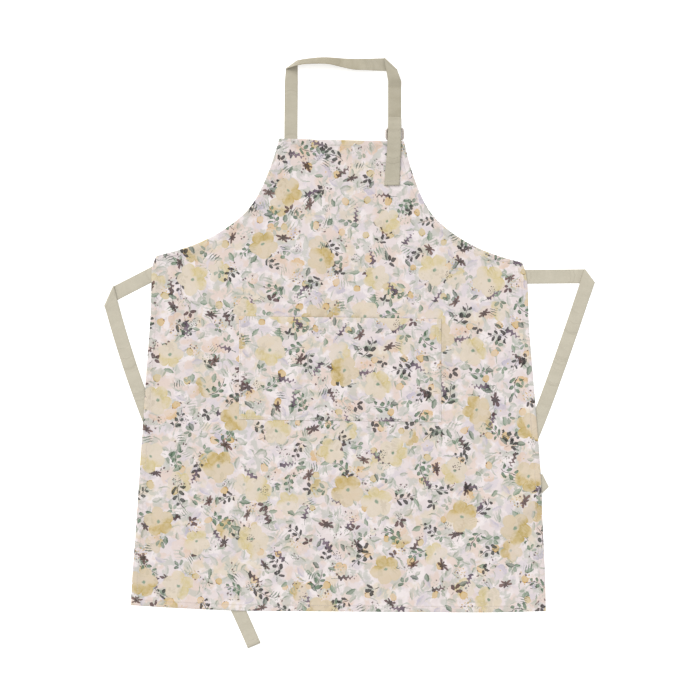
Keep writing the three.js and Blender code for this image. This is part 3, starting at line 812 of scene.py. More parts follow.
@dataclass
class Surface:
    """A closed mesh of four-sided faces, in millimetres, with values marked on its points."""

    points: Array
    quads: Array
    marks: dict[str, Array] = field(default_factory=dict)

    @classmethod
    def tube(cls, rings: Array, closed: bool) -> "Surface":
        """A tube round rings of points, which closes on itself or has two flat ends.

        Args:
            rings: The points, ring by ring.
            closed: Whether the last ring meets the first.

        Returns:
            The surface.
        """
        count, around = rings.shape[:2]
        spans = count if closed else count - 1
        i = np.arange(spans)[:, None]
        k = np.arange(around)[None, :]
        here, ahead = i * around, (i + 1) % count * around
        beside = (k + 1) % around
        walls = np.stack([here + k, here + beside, ahead + beside, ahead + k], axis=-1)
        quads = [walls.reshape(-1, 4)]
        if not closed:
            half = np.arange(around // 2 - 1)
            cap = np.stack([half, around - 1 - half, around - 2 - half, half + 1], axis=-1)
            quads += [cap, cap[:, ::-1] + (count - 1) * around]
        return cls(rings.reshape(-1, 3), np.concatenate(quads))

    @classmethod
    def ribbon(cls, path: Ribbon, width: float, shade_and_soil: Array | float = 0.0) -> "Surface":
        """A tape round its cross lines, with soft edges.

        Each face stands off the middle surface along the normal, cross line times way. The tape
        thins at its two edges, where the thickness follows a quarter round.

        Args:
            path: The cross lines.
            width: The tape's width.
            shade_and_soil: How much soil and painted shade darken the tape at each cross line.

        Returns:
            The surface, marked with the place on the tape and the soil and painted shade there.
        """
        across = np.array([-1, -0.975, -0.93, -0.6, -0.2, 0.2, 0.6, 0.93, 0.975, 1])
        full = np.array([0.3, 0.75, 1, 1, 1, 1, 1, 1, 0.75, 0.3])
        steps = np.diff(path.middle, axis=0)
        steps /= np.linalg.norm(steps, axis=1)[:, None]
        way = np.concatenate([steps[:1], steps[:-1] + steps[1:], steps[-1:]])
        normal = np.cross(path.b - path.a, way)
        normal /= np.linalg.norm(normal, axis=1)[:, None]
        up = normal[:, 2] >= 0
        share = (across[None, :, None] + 1) / 2
        middle = path.a[:, None] + share * (path.b - path.a)[:, None]
        above = (TAPE.thickness / 2 + np.where(up, path.extra, 0))[:, None] * full
        below = (TAPE.thickness / 2 + np.where(up, 0, path.extra))[:, None] * full
        top = middle + above[..., None] * normal[:, None]
        bottom = middle - below[..., None] * normal[:, None]
        rings = np.concatenate([top, bottom[:, ::-1]], axis=1)
        surface = cls.tube(rings, closed=False)
        round_tape = np.concatenate([across, across[::-1]]) * width / 2
        along = np.broadcast_to(path.along[:, None], rings.shape[:2])
        across_all = np.broadcast_to(round_tape, rings.shape[:2])
        shaded_and_soiled = np.broadcast_to(np.reshape(shade_and_soil, (-1, 1)), rings.shape[:2])
        surface.marks["lay"] = np.stack([across_all, along, shaded_and_soiled], axis=-1).reshape(-1, 3)
        return surface

    @classmethod
    def sheet(cls, plan: Array, under: Array, over: Array, edge: Array) -> "Surface":
        """A closed sheet of cloth over a grid.

        Args:
            plan: The grid's x and y.
            under: The underside's height.
            over: The upper side's height.
            edge: The distance from the cloth's edge.

        Returns:
            The surface, marked with that distance and with its underside.
        """
        rows, columns = under.shape
        count = rows * columns
        grid = np.arange(count).reshape(rows, columns)
        square = np.stack([grid[:-1, :-1], grid[:-1, 1:], grid[1:, 1:], grid[1:, :-1]], axis=-1)
        square = square.reshape(-1, 4)
        rim = np.concatenate([grid[0], grid[1:, -1], grid[-1, -2::-1], grid[-2:0:-1, 0]])
        following = np.roll(rim, -1)
        wall = np.stack([rim, rim + count, following + count, following], axis=-1)
        quads = np.concatenate([square, square[:, ::-1] + count, wall])
        points = [np.column_stack([plan.reshape(-1, 2), z.ravel()]) for z in (under, over)]
        marks = {
            "edge": np.concatenate([edge.ravel(), edge.ravel()]),
            "underside": np.repeat([1.0, 0.0], count),
        }
        return cls(np.concatenate(points), quads, marks)

    def outward(self) -> "Surface":
        """Turn the faces outwards, told by the sign of the volume.

        Returns:
            The surface.
        """
        a, b, c, d = (self.points[self.quads[:, k]] for k in range(4))
        volume = np.sum(a * np.cross(b, c)) + np.sum(a * np.cross(c, d))
        if volume < 0:
            self.quads = self.quads[:, ::-1]
        return self

    def piece(self, name: str, finish: bpy.types.Material, node: str | None, slot: str
              ) -> bpy.types.Object:
        """Make the surface a Blender object that rides on the apron's one body.

        Args:
            name: The piece's name.
            finish: Its material.
            node: The solid that it stands for, or None.
            slot: The record's material slot, which is not used.

        Returns:
            The object.
        """
        self.outward()
        mesh = bpy.data.meshes.new(name)
        mesh.vertices.add(len(self.points))
        mesh.vertices.foreach_set("co", (self.points * MM).astype(np.float32).ravel())
        mesh.loops.add(self.quads.size)
        mesh.loops.foreach_set("vertex_index", self.quads.astype(np.int32).ravel())
        mesh.polygons.add(len(self.quads))
        mesh.polygons.foreach_set("loop_start", np.arange(0, self.quads.size, 4, dtype=np.int32))
        for mark, values in self.marks.items():
            kind, key = ("FLOAT_VECTOR", "vector") if values.ndim > 1 else ("FLOAT", "value")
            attribute = mesh.attributes.new(mark, kind, "POINT")
            attribute.data.foreach_set(key, values.astype(np.float32).ravel())
        mesh.update()
        mesh.validate()
        mesh.shade_smooth()
        mesh.materials.append(finish)
        made = bpy.data.objects.new(name, mesh)
        bpy.context.scene.collection.objects.link(made)
        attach(made, BODY)
        if node:
            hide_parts(node)
        LOG.info("%s: %d faces", name, len(self.quads))
        return made


def rounded(edge: Array, reach: float, least: float) -> Array:
    """The share of a cloth's thickness near its rounded edge: a quarter of a circle.

    Args:
        edge: The distance from the edge.
        reach: How broad the rounding is.
        least: The share at the edge itself.

    Returns:
        least at the edge, rising to 1 at the rounding's end.
    """
    return least + (1 - least) * np.sqrt(1 - (1 - np.clip(edge / reach, 0, 1)) ** 2)


def dimple(away: Array, width: float) -> Array:
    """How far a seam presses the cloth in: its dip times exp(-(away / width) ** 2)."""
    return CLOTH.seam_dip * np.exp(-((away / width) ** 2))


def least_of(*values: Array) -> Array:
    """The least of several arrays, point by point."""
    return reduce(np.minimum, values)


@dataclass
class Panel:
    """The cloth panel: bib, armholes and skirt, with turned hems and their seams."""

    cloth: LyingCloth
    columns: int = 176
    bib_rows: int = 52
    skirt_rows: int = 156
    hem_lines: tuple[float, ...] = (0, 0.4, 1.2, 4, 8, 9.6, 10.5, 11.4, 12.4, 14.4)
    seam_width: float = 0.9
    edge_round: float = 1.2
    edge_share: float = 0.4
    steepest: float = 3.5
    lean_step: float = 0.004
    bib_points: int = 200
    skirt_points: int = 300
    far: float = 1e3

    def span(self, level: Array) -> tuple[Array, Array, Array]:
        """The panel's edges at a level, and how slanting they are there.

        Args:
            level: The level: 0 to 1 down the bib and 1 to 2 down the skirt.

        Returns:
            The left edge, the right edge, and how much wider a hem is along the row than square
            to the edge: the length of (1, lean).
        """
        level = np.asarray(level, float)
        left, right = side_edge(-1, level), side_edge(1, level)
        steps = (-self.lean_step, self.lean_step)
        above, below = (side_edge(-1, np.clip(level + step, 0, 2)) for step in steps)
        lean = np.abs(below[..., 0] - above[..., 0]) / (above[..., 1] - below[..., 1])
        return left, right, np.hypot(1, np.minimum(lean, self.steepest))

    def spot(self, share: Array, level: Array) -> Array:
        """The place in plan of a share across at a level, with the bottom hem's sag.

        Args:
            share: The share of the way from the left edge to the right.
            level: The level.

        Returns:
            The places, x and y last.
        """
        left, right, _ = self.span(level)
        place = left + (right - left) * np.asarray(share)[..., None]
        drop = np.clip(np.asarray(level) - 1, 0, 1) ** 2 * CLOTH.hem_width
        place[..., 1] -= drop * through(SAG_ACROSS, SAG, share)
        return place

    def over(self, place: Array, edge: Array) -> Array:
        """The front's height: the underside's, the thickness and the hem, less the seam's dip.

        Args:
            place: The places, x and y last.
            edge: Their distance from the cloth's edge.

        Returns:
            The height there.
        """
        base = self.cloth.under(place[..., 0], place[..., 1])
        hem = CLOTH.hem_raise * fall((edge - CLOTH.hem_band) / CLOTH.hem_step)
        thick = (CLOTH.thickness + hem) * rounded(edge, self.edge_round, self.edge_share)
        return base + thick - dimple(edge - CLOTH.seam, self.seam_width)

    def surface(self) -> Surface:
        """The whole panel as a closed sheet over rows and columns that crowd at its hems.

        Returns:
            The surface.
        """
        lines = np.array(self.hem_lines)
        inner = lines[-1]
        upper = np.linspace(inner / CLOTH.armhole_drop, 1, self.bib_rows + 1)[1:]
        lower = 1 + np.linspace(0, 1 - inner / CLOTH.skirt, self.skirt_rows + 1)[1:]
        hem_top = lines / CLOTH.armhole_drop
        hem_bottom = 2 - lines[-2::-1] / CLOTH.skirt
        level = np.concatenate([hem_top, upper, lower, hem_bottom])
        left, right, wider = self.span(level)
        width = right[:, 0] - left[:, 0]
        hem = lines * (wider / width)[:, None]
        way = np.linspace(0, 1, self.columns + 1)[1:-1]
        middle = hem[:, -1:] + (1 - 2 * hem[:, -1:]) * way
        share = np.concatenate([hem, middle, 1 - hem[:, ::-1]], axis=1)
        plan = self.spot(share, np.broadcast_to(level[:, None], share.shape))
        from_side = np.minimum(share, 1 - share) * (width / wider)[:, None]
        from_top = np.where(level < 1, level * CLOTH.armhole_drop, self.far)
        from_bottom = np.where(level > 1, (2 - level) * CLOTH.skirt, self.far)
        edge = least_of(from_side, from_top[:, None], from_bottom[:, None])
        under = self.cloth.under(plan[..., 0], plan[..., 1])
        return Surface.sheet(plan, under, self.over(plan, edge), edge)

    def seams(self) -> list[Array]:
        """The lines of stitches along the hems.

        Returns:
            The two sides' lines, the bib's and the bottom's, in space.
        """
        start = CLOTH.seam / CLOTH.armhole_drop
        stop = 2 - CLOTH.seam / CLOTH.skirt
        skirt = np.linspace(1, stop, self.skirt_points)
        levels = np.concatenate([np.linspace(start, 1, self.bib_points), skirt[1:]])
        left, right, wider = self.span(levels)
        near = CLOTH.seam * wider / (right[:, 0] - left[:, 0])
        lines = [self.spot(near, levels), self.spot(1 - near, levels)]
        for at, share in ((start, near[0]), (stop, near[-1])):
            across = np.linspace(share, 1 - share, self.bib_points)
            lines.append(self.spot(across, np.full(self.bib_points, at)))
        return [self._raised(line) for line in lines]

    def _raised(self, line: Array) -> Array:
        """A line in plan lifted to the front's height at the seam."""
        return np.column_stack([line, self.over(line, np.full(len(line), CLOTH.seam))])

    def area(self) -> float:
        """The flat area in square metres: the widths between the edges, summed down the panel.

        Returns:
            The area.
        """
        left, right, _ = self.span(np.linspace(0, 2, 2 * self.bib_points))
        width = right[:, 0] - left[:, 0]
        y = (left[:, 1] + right[:, 1]) / 2
        return float(np.sum((width[1:] + width[:-1]) / 2 * -np.diff(y))) * MM * MM


@dataclass
class Pocket:
    """The patch pocket: a plain panel with a deep hem at its mouth, which stands off a little.

    Places on it are told in millimetres across and below its upper left corner.
    """

    panel: Panel
    width: float = 368.0
    depth: float = 188.0
    down: float = 323.0
    shift: float = 4.0
    slant: float = 2.5
    hem: float = 22.0
    gape: float = 2.0
    gape_reach: float = 0.5
    sewn_gap: float = 0.8
    sewn_reach: float = 6.0
    seam: float = 3.0
    seam_width: float = 0.8
    mouth_seam: float = 20.0
    mouth_width: float = 0.9
    edge_round: float = 2.0
    edge_share: float = 0.2
    side_lines: tuple[float, ...] = (0, 0.4, 1.2, 2.2, 3, 3.8, 6)
    mouth_lines: tuple[float, ...] = (0, 0.4, 1.2, 6, 12, 18, 19.1, 20, 20.9, 22.2, 24.2)
    columns: int = 92
    rows: int = 42
    stitch_step: float = 4.0

    def spot(self, across: Array, below: Array) -> Array:
        """The place in plan of a point of the pocket, which slants down to the right.

        Args:
            across: How far across it is.
            below: How far below the mouth.

        Returns:
            The places, x and y last.
        """
        share = across / self.width
        x = self.shift - self.width / 2 + across
        y = CLOTH.top - self.down - below - self.slant * (2 * share - 1)
        return np.stack([x, y], axis=-1)

    def sewn(self, across: Array, below: Array) -> Array:
        """The distance from the sewn edges: the two sides and the foot."""
        return least_of(across, self.width - across, self.depth - below)

    def under(self, place: Array, across: Array, below: Array) -> Array:
        """The underside's height: close on the panel at the seams, and off it at the mouth.

        Args:
            place: The places in plan.
            across: How far across they are.
            below: How far below the mouth.

        Returns:
            The height there.
        """
        bow = np.sin(np.pi * across / self.width) ** 2 * fall(below / self.depth / self.gape_reach)
        on_panel = self.panel.cloth.under(place[..., 0], place[..., 1]) + CLOTH.thickness
        held = self.sewn_gap * fall(self.sewn(across, below) / self.sewn_reach)
        return on_panel + CLOTH.gap * (1 - held) + self.gape * bow

    def over(self, place: Array, across: Array, below: Array) -> Array:
        """The front's height, with the mouth's hem, the seams' dips and the rounded edge.

        Args:
            place: The places in plan.
            across: How far across they are.
            below: How far below the mouth.

        Returns:
            The height there.
        """
        sewn = self.sewn(across, below)
        hem = CLOTH.hem_raise * fall((below - self.hem) / CLOTH.hem_step)
        dip = np.maximum(dimple(sewn - self.seam, self.seam_width),
                         dimple(below - self.mouth_seam, self.mouth_width))
        edge = rounded(np.minimum(sewn, below), self.edge_round, self.edge_share)
        return self.under(place, across, below) + (CLOTH.thickness + hem) * edge - dip

    def surface(self) -> Surface:
        """The pocket as a closed sheet over rows and columns that crowd at its edges.

        Returns:
            The surface.
        """
        side, mouth = np.array(self.side_lines), np.array(self.mouth_lines)
        inner = side[-1]
        middle = np.linspace(inner, self.width - inner, self.columns)[1:-1]
        across = np.concatenate([side, middle, self.width - side[::-1]])
        middle = np.linspace(mouth[-1], self.depth - inner, self.rows)[1:-1]
        below = np.concatenate([mouth, middle, self.depth - side[::-1]])
        below, across = np.meshgrid(below, across, indexing="ij")
        plan = self.spot(across, below)
        under, over = self.under(plan, across, below), self.over(plan, across, below)
        return Surface.sheet(plan, under, over, self.sewn(across, below))

    def seams(self) -> list[Array]:
        """The lines of stitches: round the sewn sides, and along the mouth's hem.

        Returns:
            The lines, in space.
        """
        near, far = self.seam, self.width - self.seam
        foot = self.depth - self.seam
        u_line = np.array([[near, 1.0], [near, foot], [far, foot], [far, 1.0]])
        mouth = np.array([[near, self.mouth_seam], [far, self.mouth_seam]])
        lines = []
        for corners in (u_line, mouth):
            across, below = resample(corners, self.stitch_step).T
            place = self.spot(across, below)
            lines.append(np.column_stack([place, self.over(place, across, below)]))
        return lines


def resample(line: Array, pitch: float) -> Array:
    """Points at an even pitch along a line of straight stretches.

    Args:
        line: The line's corners.
        pitch: The distance between points.

    Returns:
        The points, with both ends.
    """
    steps = np.linalg.norm(np.diff(line, axis=0), axis=1)
    reached = np.concatenate([[0.0], np.cumsum(steps)])
    at = np.linspace(0, reached[-1], max(round(reached[-1] / pitch), 1) + 1)
    return np.column_stack([np.interp(at, reached, column) for column in line.T])


@dataclass
class Stitching:
    """Lock stitches along lines: short rounded threads that dive into the cloth at both ends."""

    lines: Sequence[Array]
    pitch: float = 3.4
    length: float = 2.6
    half_width: float = 0.3
    spread: tuple[float, ...] = (-0.5, -0.32, 0, 0.32, 0.5)
    swell: tuple[float, ...] = (0.5, 0.95, 1, 0.95, 0.5)
    height: tuple[float, ...] = (-0.3, 0.08, 0.2, 0.08, -0.3)
    sides: int = 4

    def surface(self) -> Surface:
        """All stitches as one mesh.

        Each is a tube with a four-cornered section: its middle, plus the spread along the thread,
        the swell to its side and the height above the cloth.

        Returns:
            The surface.
        """
        spread, swell, height = (
            np.array(values)[:, None] for values in (self.spread, self.swell, self.height)
        )
        rows = [resample(line, self.pitch) for line in self.lines]
        centre = np.concatenate([(row[1:] + row[:-1]) / 2 for row in rows])
        way = np.concatenate([np.diff(row, axis=0) for row in rows])
        way /= np.linalg.norm(way, axis=1)[:, None]
        side = np.cross([0, 0, 1.0], way)
        side /= np.linalg.norm(side, axis=1)[:, None]
        up = np.cross(way, side)
        turn = 2 * np.pi / self.sides * np.arange(self.sides)
        beside = self.half_width * swell * np.cos(turn)
        above = height + self.half_width * swell * np.sin(turn)
        ahead = np.broadcast_to(self.length * spread, beside.shape)
        parts = zip((ahead, beside, above), (way, side, up))
        points = centre[:, None, None] + sum(
            part[None, :, :, None] * axis[:, None, None] for part, axis in parts
        )
        one = Surface.tube(points[0], closed=False)
        shift = np.arange(len(centre))[:, None, None] * one.points.shape[0]
        return Surface(points.reshape(-1, 3), (one.quads[None] + shift).reshape(-1, 4))


LIGHT = 1.35


def dyed(red: float, green: float, blue: float) -> Colour:
    """The colour that shows as three display values in the studio's light.

    The studio shows a flat surface LIGHT times as bright as its own colour.

    Args:
        red: The red that shows, 0 to 255.
        green: The green.
        blue: The blue.

    Returns:
        The colour in linear light.
    """
    shares = (value / 255 for value in (red, green, blue))
    lit = (s / 12.92 if s <= 0.04045 else ((s + 0.055) / 1.055) ** 2.4 for s in shares)
    return tuple(value / LIGHT for value in lit)


class Value:
    """A number that a shader works out at each point: sums and products add math nodes."""

    def __init__(self, graph: "Graph", socket: Socket) -> None:
        """Wrap a socket of a graph."""
        self.graph = graph
        self.socket = socket

    def __add__(self, other: "Value | float") -> "Value":
        """The sum."""
        return self.graph.math("ADD", self, other)

    def __sub__(self, other: "Value | float") -> "Value":
        """The difference."""
        return self.graph.math("SUBTRACT", self, other)

    def __rsub__(self, other: float) -> "Value":
        """A number less this value."""
        return self.graph.math("SUBTRACT", other, self)

    def __mul__(self, other: "Value | float") -> "Value":
        """The product."""
        return self.graph.math("MULTIPLY", self, other)

    def __truediv__(self, other: "Value | float") -> "Value":
        """The quotient."""
        return self.graph.math("DIVIDE", self, other)

    def __pow__(self, other: float) -> "Value":
        """The power."""
        return self.graph.math("POWER", self, other)

    def __abs__(self) -> "Value":
        """The size without its sign."""
        return self.graph.math("ABSOLUTE", self)

    __radd__ = __add__
    __rmul__ = __mul__

    def ease(self, low: "Value | float", high: "Value | float") -> "Value":
        """A smooth rise from 0 at low to 1 at high, or a fall where low is the larger.

        Args:
            low: Where the result is 0.
            high: Where it is 1.

        Returns:
            The eased value.
        """
        reach = {"Value": self, "From Min": low, "From Max": high}
        made = self.graph.node("MapRange", reach, interpolation_type="SMOOTHSTEP")
        return Value(self.graph, made.outputs["Result"])


class Graph:
    """A node tree, with short ways to add nodes and join them."""

    def __init__(self, tree: bpy.types.NodeTree) -> None:
        """Work on a node tree."""
        self.tree = tree

    def node(self, kind: str, inputs: dict | None = None, **settings: object) -> bpy.types.Node:
        """Add a node.

        Args:
            kind: Its type, without the ShaderNode that all begin with.
            inputs: What its inputs get, by name or number: a value, a socket or a number.
            settings: Its other settings.

        Returns:
            The node.
        """
        made = self.tree.nodes.new("ShaderNode" + kind)
        for name, setting in settings.items():
            setattr(made, name, setting)
        for name, value in (inputs or {}).items():
            self.feed(made.inputs[name], value)
        return made

    def feed(self, target: Socket, value: object) -> None:
        """Join a value or a socket to an input, or set the input to a number or colour.

        Args:
            target: The input.
            value: What it gets. A colour has three numbers, and its alpha is 1.
        """
        if isinstance(value, Value):
            value = value.socket
        if isinstance(value, bpy.types.NodeSocket):
            self.tree.links.new(value, target)
        elif target.type == "RGBA" and len(value) == 3:
            target.default_value = (*value, 1.0)
        else:
            target.default_value = value

    def math(self, operation: str, *values: "Value | float") -> Value:
        """A math node's result."""
        made = self.node("Math", dict(enumerate(values)), operation=operation)
        return Value(self, made.outputs[0])

    def least(self, *values: Value) -> Value:
        """The least of several values."""
        return reduce(lambda one, other: self.math("MINIMUM", one, other), values)

    def most(self, *values: Value) -> Value:
        """The greatest of several values."""
        return reduce(lambda one, other: self.math("MAXIMUM", one, other), values)

    def vector(self, operation: str, *values: object) -> Socket:
        """A vector math node's result.

        Args:
            operation: What it does.
            values: Its inputs. The second one of a scaling is a number.

        Returns:
            The result's socket.
        """
        inputs: dict = dict(enumerate(values))
        if operation == "SCALE":
            inputs = {0: values[0], "Scale": values[1]}
        return self.node("VectorMath", inputs, operation=operation).outputs["Vector"]

    def length(self, x: Value, y: Value) -> Value:
        """The distance from the origin."""
        return (x * x + y * y) ** 0.5

    def parts(self, vector: Socket) -> tuple[Value, Value, Value]:
        """A vector's or a colour's three numbers."""
        made = self.node("SeparateXYZ", {0: vector})
        return tuple(Value(self, output) for output in made.outputs)

    def joined(self, x: object, y: object) -> Socket:
        """A flat vector from two numbers."""
        return self.node("CombineXYZ", {0: x, 1: y}).outputs[0]

    def noise(self, place: Socket, scale: float, detail: float = 2.0, rough: float = 0.5) -> Value:
        """Flat noise round one half."""
        made = self._noise(place, scale, detail, rough)
        return Value(self, made.outputs[0])

    def noise_vector(self, place: Socket, scale: float, detail: float = 2.0) -> Socket:
        """Flat noise as a vector of three numbers round one half."""
        return self._noise(place, scale, detail, 0.5).outputs["Color"]

    def _noise(self, place: Socket, scale: float, detail: float, rough: float) -> bpy.types.Node:
        """A noise node."""
        inputs = {"Vector": place, "Scale": scale, "Detail": detail, "Roughness": rough}
        return self.node("TexNoise", inputs, noise_dimensions="2D")

    def blend(self, factor: object, first: object, second: object, way: str = "MIX") -> Socket:
        """One colour over another."""
        made = self.node("MixRGB", {0: factor, 1: first, 2: second}, blend_type=way)
        return made.outputs[0]

    def marked(self, name: str, output: str) -> Socket:
        """What is marked on the mesh, as a number (Fac) or a vector (Vector)."""
        return self.node("Attribute", attribute_name=name).outputs[output]

    def use(self, group: bpy.types.NodeTree, inputs: dict) -> bpy.types.Node:
        """Place a node group.

        Args:
            group: The group.
            inputs: What its inputs get, by name.

        Returns:
            The group's node.
        """
        made = self.tree.nodes.new("ShaderNodeGroup")
        made.node_tree = group
        for name, value in inputs.items():
            self.feed(made.inputs[name], value)
        return made


class Group:
    """A shader node group being made, with named inputs and outputs."""

    KINDS = {float: "NodeSocketFloat", Vector: "NodeSocketVector", tuple: "NodeSocketColor"}

    def __init__(self, name: str, inputs: dict[str, type], outputs: dict[str, type]) -> None:
        """Start a group.

        Args:
            name: The group's name.
            inputs: The kinds of its inputs: float, Vector or, for a colour, tuple.
            outputs: The kinds of its outputs.
        """
        self.tree = bpy.data.node_groups.new(name, "ShaderNodeTree")
        for way, sockets in (("INPUT", inputs), ("OUTPUT", outputs)):
            for label, kind in sockets.items():
                self.tree.interface.new_socket(
                    name=label, in_out=way, socket_type=self.KINDS[kind]
                )
        self.graph = Graph(self.tree)
        self.source = self.tree.nodes.new("NodeGroupInput")
        self.result = self.tree.nodes.new("NodeGroupOutput")

    def value(self, name: str) -> Value:
        """An input that is a number."""
        return Value(self.graph, self.source.outputs[name])

    def socket(self, name: str) -> Socket:
        """An input that is a vector or a colour."""
        return self.source.outputs[name]

    def finish(self, **results: object) -> bpy.types.NodeTree:
        """Join the results to the outputs.

        Args:
            results: The results, by the outputs' names.

        Returns:
            The group.
        """
        for name, value in results.items():
            self.graph.feed(self.result.inputs[name], value)
        return self.tree


Drawn = tuple[Value, Value, Value]


def coreless(x: Value) -> Value:
    """The core's mask of a motif without one: 0 all over the motif's square."""
    return x.ease(2.0, 3.0)


class Shape(Enum):
    """The print's motifs. Each is drawn in its own square, from -1 to 1 both ways."""

    BLOSSOM = "blossom"
    STARRY = "starry"
    LEAF = "leaf"
    TREFOIL = "trefoil"
    SPRIG = "sprig"
    SPIKE = "spike"
    FRUIT = "fruit"
    BLADES = "blades"
    STROKE = "stroke"
    SPRAY = "spray"

    def draw(self, g: Graph, place: Socket) -> Drawn:
        """Draw the motif.

        Args:
            g: The graph to draw in.
            place: The place in the motif's square.

        Returns:
            How far a point is inside the motif, how dense its paint is, and where its core is.
        """
        x, y, _ = g.parts(place)
        return getattr(self, "_" + self.value)(g, x, y)

    def _blossom(self, g: Graph, x: Value, y: Value) -> Drawn:
        """Five round petals: the rim is 0.66 + 0.32 * |cos(2.5 * angle)| ** 0.6.

        Args:
            g: The graph.
            x: Along the motif.
            y: Across it.

        Returns:
            The drawing.
        """
        away = g.length(x, y)
        lobes = abs(g.math("COSINE", g.math("ARCTAN2", y, x) * 2.5))
        inside = 0.66 + 0.32 * lobes ** 0.6 - away
        pool = y.ease(0.2, -0.3) * away.ease(0.08, 0.3) * away.ease(1.0, 0.7)
        dense = pool + (1 - lobes).ease(0.75, 1.0) * 0.25
        return inside, dense, away.ease(0.14, 0.06)

    def _starry(self, g: Graph, x: Value, y: Value) -> Drawn:
        """A ragged little bloom: seven stubby rays of unlike length.

        Args:
            g: The graph.
            x: Along the motif.
            y: Across it.

        Returns:
            The drawing.
        """
        away = g.length(x, y)
        angle = g.math("ARCTAN2", y, x)
        rays = abs(g.math("COSINE", angle * 3.5))
        uneven = 0.6 + 0.4 * g.math("SINE", angle * 2.0 + 1.0)
        inside = (0.3 + 0.7 * rays * uneven - away) * 0.6
        return inside, away.ease(0.9, 0.2), away.ease(0.14, 0.06)

    def _leaf(self, g: Graph, x: Value, y: Value) -> Drawn:
        """A lens of half width 0.46 * (1 - x * x), denser on one side of its vein.

        Args:
            g: The graph.
            x: Along the motif.
            y: Across it.

        Returns:
            The drawing.
        """
        inside = 0.46 * (1 - x * x) - abs(y)
        dense = 0.2 + 0.6 * y.ease(-0.08, 0.08)
        vein = abs(y).ease(0.06, 0.02) * x.ease(0.7, 0.2)
        return inside * 0.8, dense, vein * 0.4

    def _trefoil(self, g: Graph, x: Value, y: Value) -> Drawn:
        """Three oval leaves on a stem: one ahead, and one to each side at 62 degrees.

        Args:
            g: The graph.
            x: Along the motif.
            y: Across it.

        Returns:
            The drawing.
        """
        up = abs(y + 0.05)
        ahead = up * 0.883 + x * 0.469 - 0.5
        aside = up * 0.469 - x * 0.883
        side = 0.4 - g.length(ahead, aside * 1.8)
        tip = 0.4 - g.length(x - 0.6, y * 1.8)
        stem = g.least(0.05 - abs(y + 0.1 * x * x), 0.25 - abs(x + 0.45))
        dense = 0.3 + 0.5 * y.ease(-0.3, 0.3)
        return g.most(g.most(side, tip) * 0.6, stem), dense, stem.ease(0.0, 0.03)

    def _sprig(self, g: Graph, x: Value, y: Value) -> Drawn:
        """A bent stem with leaves on alternate sides that grow smaller to its tip.

        Args:
            g: The graph.
            x: Along the motif.
            y: Across it.

        Returns:
            The drawing.
        """
        bend = y - 0.28 * x * x + 0.12
        pairs = 1.65
        side = g.math("GREATER_THAN", bend, 0.0)
        along = (g.math("FRACT", x * pairs + 0.5 + side * 0.4) - 0.5) * (1 / pairs)
        out = abs(bend) - (0.27 - 0.06 * x)
        ahead = (along + out) * 0.707
        aside = (along - out) * 0.707
        leaf = (0.27 - 0.07 * x - g.length(ahead, aside * 1.75)) * 0.7
        leaves = g.least(leaf, 0.85 - abs(x))
        stem = g.least(0.045 - abs(bend), 1 - abs(x))
        return g.most(leaves, stem), 0.3 + 0.7 * abs(bend).ease(0.15, 0.45), stem.ease(0.0, 0.03)

    def _spike(self, g: Graph, x: Value, y: Value) -> Drawn:
        """A thin stem, with florets on alternate sides that grow smaller to its tip.

        Args:
            g: The graph.
            x: Along the motif.
            y: Across it.

        Returns:
            The drawing.
        """
        count = 4.6
        along = (g.math("FRACT", x * count) - 0.5) * (1 / count)
        sway = 0.11 * g.math("SINE", x * (count * math.pi))
        floret = 0.21 - 0.11 * x - g.length(along, y - sway)
        florets = g.least(floret, x + 0.4)
        stem = g.least(0.04 - abs(y), 1 - abs(x))
        return g.most(florets, stem), x.ease(0.9, -0.3), x.ease(-0.3, -0.5)

    def _fruit(self, g: Graph, x: Value, y: Value) -> Drawn:
        """A round fruit with a dense rim on one side and a dark tip.

        Args:
            g: The graph.
            x: Along the motif.
            y: Across it.

        Returns:
            The drawing.
        """
        away = g.length(x, y * 1.12)
        tip = g.length(x - 0.74, y)
        dense = (away * 0.6 + x * 0.5).ease(0.0, 0.8)
        return g.most(0.8 - away, 0.14 - tip), dense, tip.ease(0.17, 0.1)

    def _blades(self, g: Graph, x: Value, y: Value) -> Drawn:
        """Four thin blades side by side, each shifted along its length.

        Args:
            g: The graph.
            x: Along the motif.
            y: Across it.

        Returns:
            The drawing.
        """
        rows = y * 2.6 + 0.5
        number = g.math("FLOOR", rows)
        shift = x * 1.3 + 0.32 * g.math("SINE", number * 2.4)
        blade = 0.27 * (1 - shift * shift) - abs(g.math("FRACT", rows) - 0.5)
        return g.least(blade * 0.38, 0.75 - abs(y)), 0.5 + 0.5 * shift, coreless(x)

    def _stroke(self, g: Graph, x: Value, y: Value) -> Drawn:
        """One bent stroke of a small brush, thick in its middle."""
        bend = y - 0.35 * x * x + 0.15
        return 0.13 * (1 - x * x) - abs(bend), x.ease(-0.8, 0.8), coreless(x)

    def _spray(self, g: Graph, x: Value, y: Value) -> Drawn:
        """A loose round of seeds of unlike size.

        Args:
            g: The graph.
            x: Along the motif.
            y: Across it.

        Returns:
            The drawing.
        """
        seeds = g.node("TexVoronoi", {"Vector": g.joined(x, y), "Scale": 2.7, "Randomness": 0.85},
                       voronoi_dimensions="2D")
        red, green, _ = g.parts(seeds.outputs["Color"])
        near = Value(g, seeds.outputs["Distance"])
        seed = (0.14 + 0.32 * red - near) * 0.37
        return g.least(seed, (0.95 - g.length(x, y)) * 0.6), green, red.ease(0.7, 0.75)


@dataclass(frozen=True)
class Motif:
    """A layer of motifs strewn over the cloth.

    spacing and size, half a motif, are in millimetres. fill is the share of places that have a
    motif, pale how much of the paint is thinned where it isn't dense, and strength how well it
    covers. hues are the paints, of which each motif has one, and core is the paint of its middle.
    """

    shape: Shape
    spacing: float
    size: float
    fill: float
    seed: float
    turn: float
    hues: Sequence[Colour]
    core: Colour
    pale: float = 0.5
    strength: float = 0.9
    soft: float = 0.08
    loose: float = 0.6


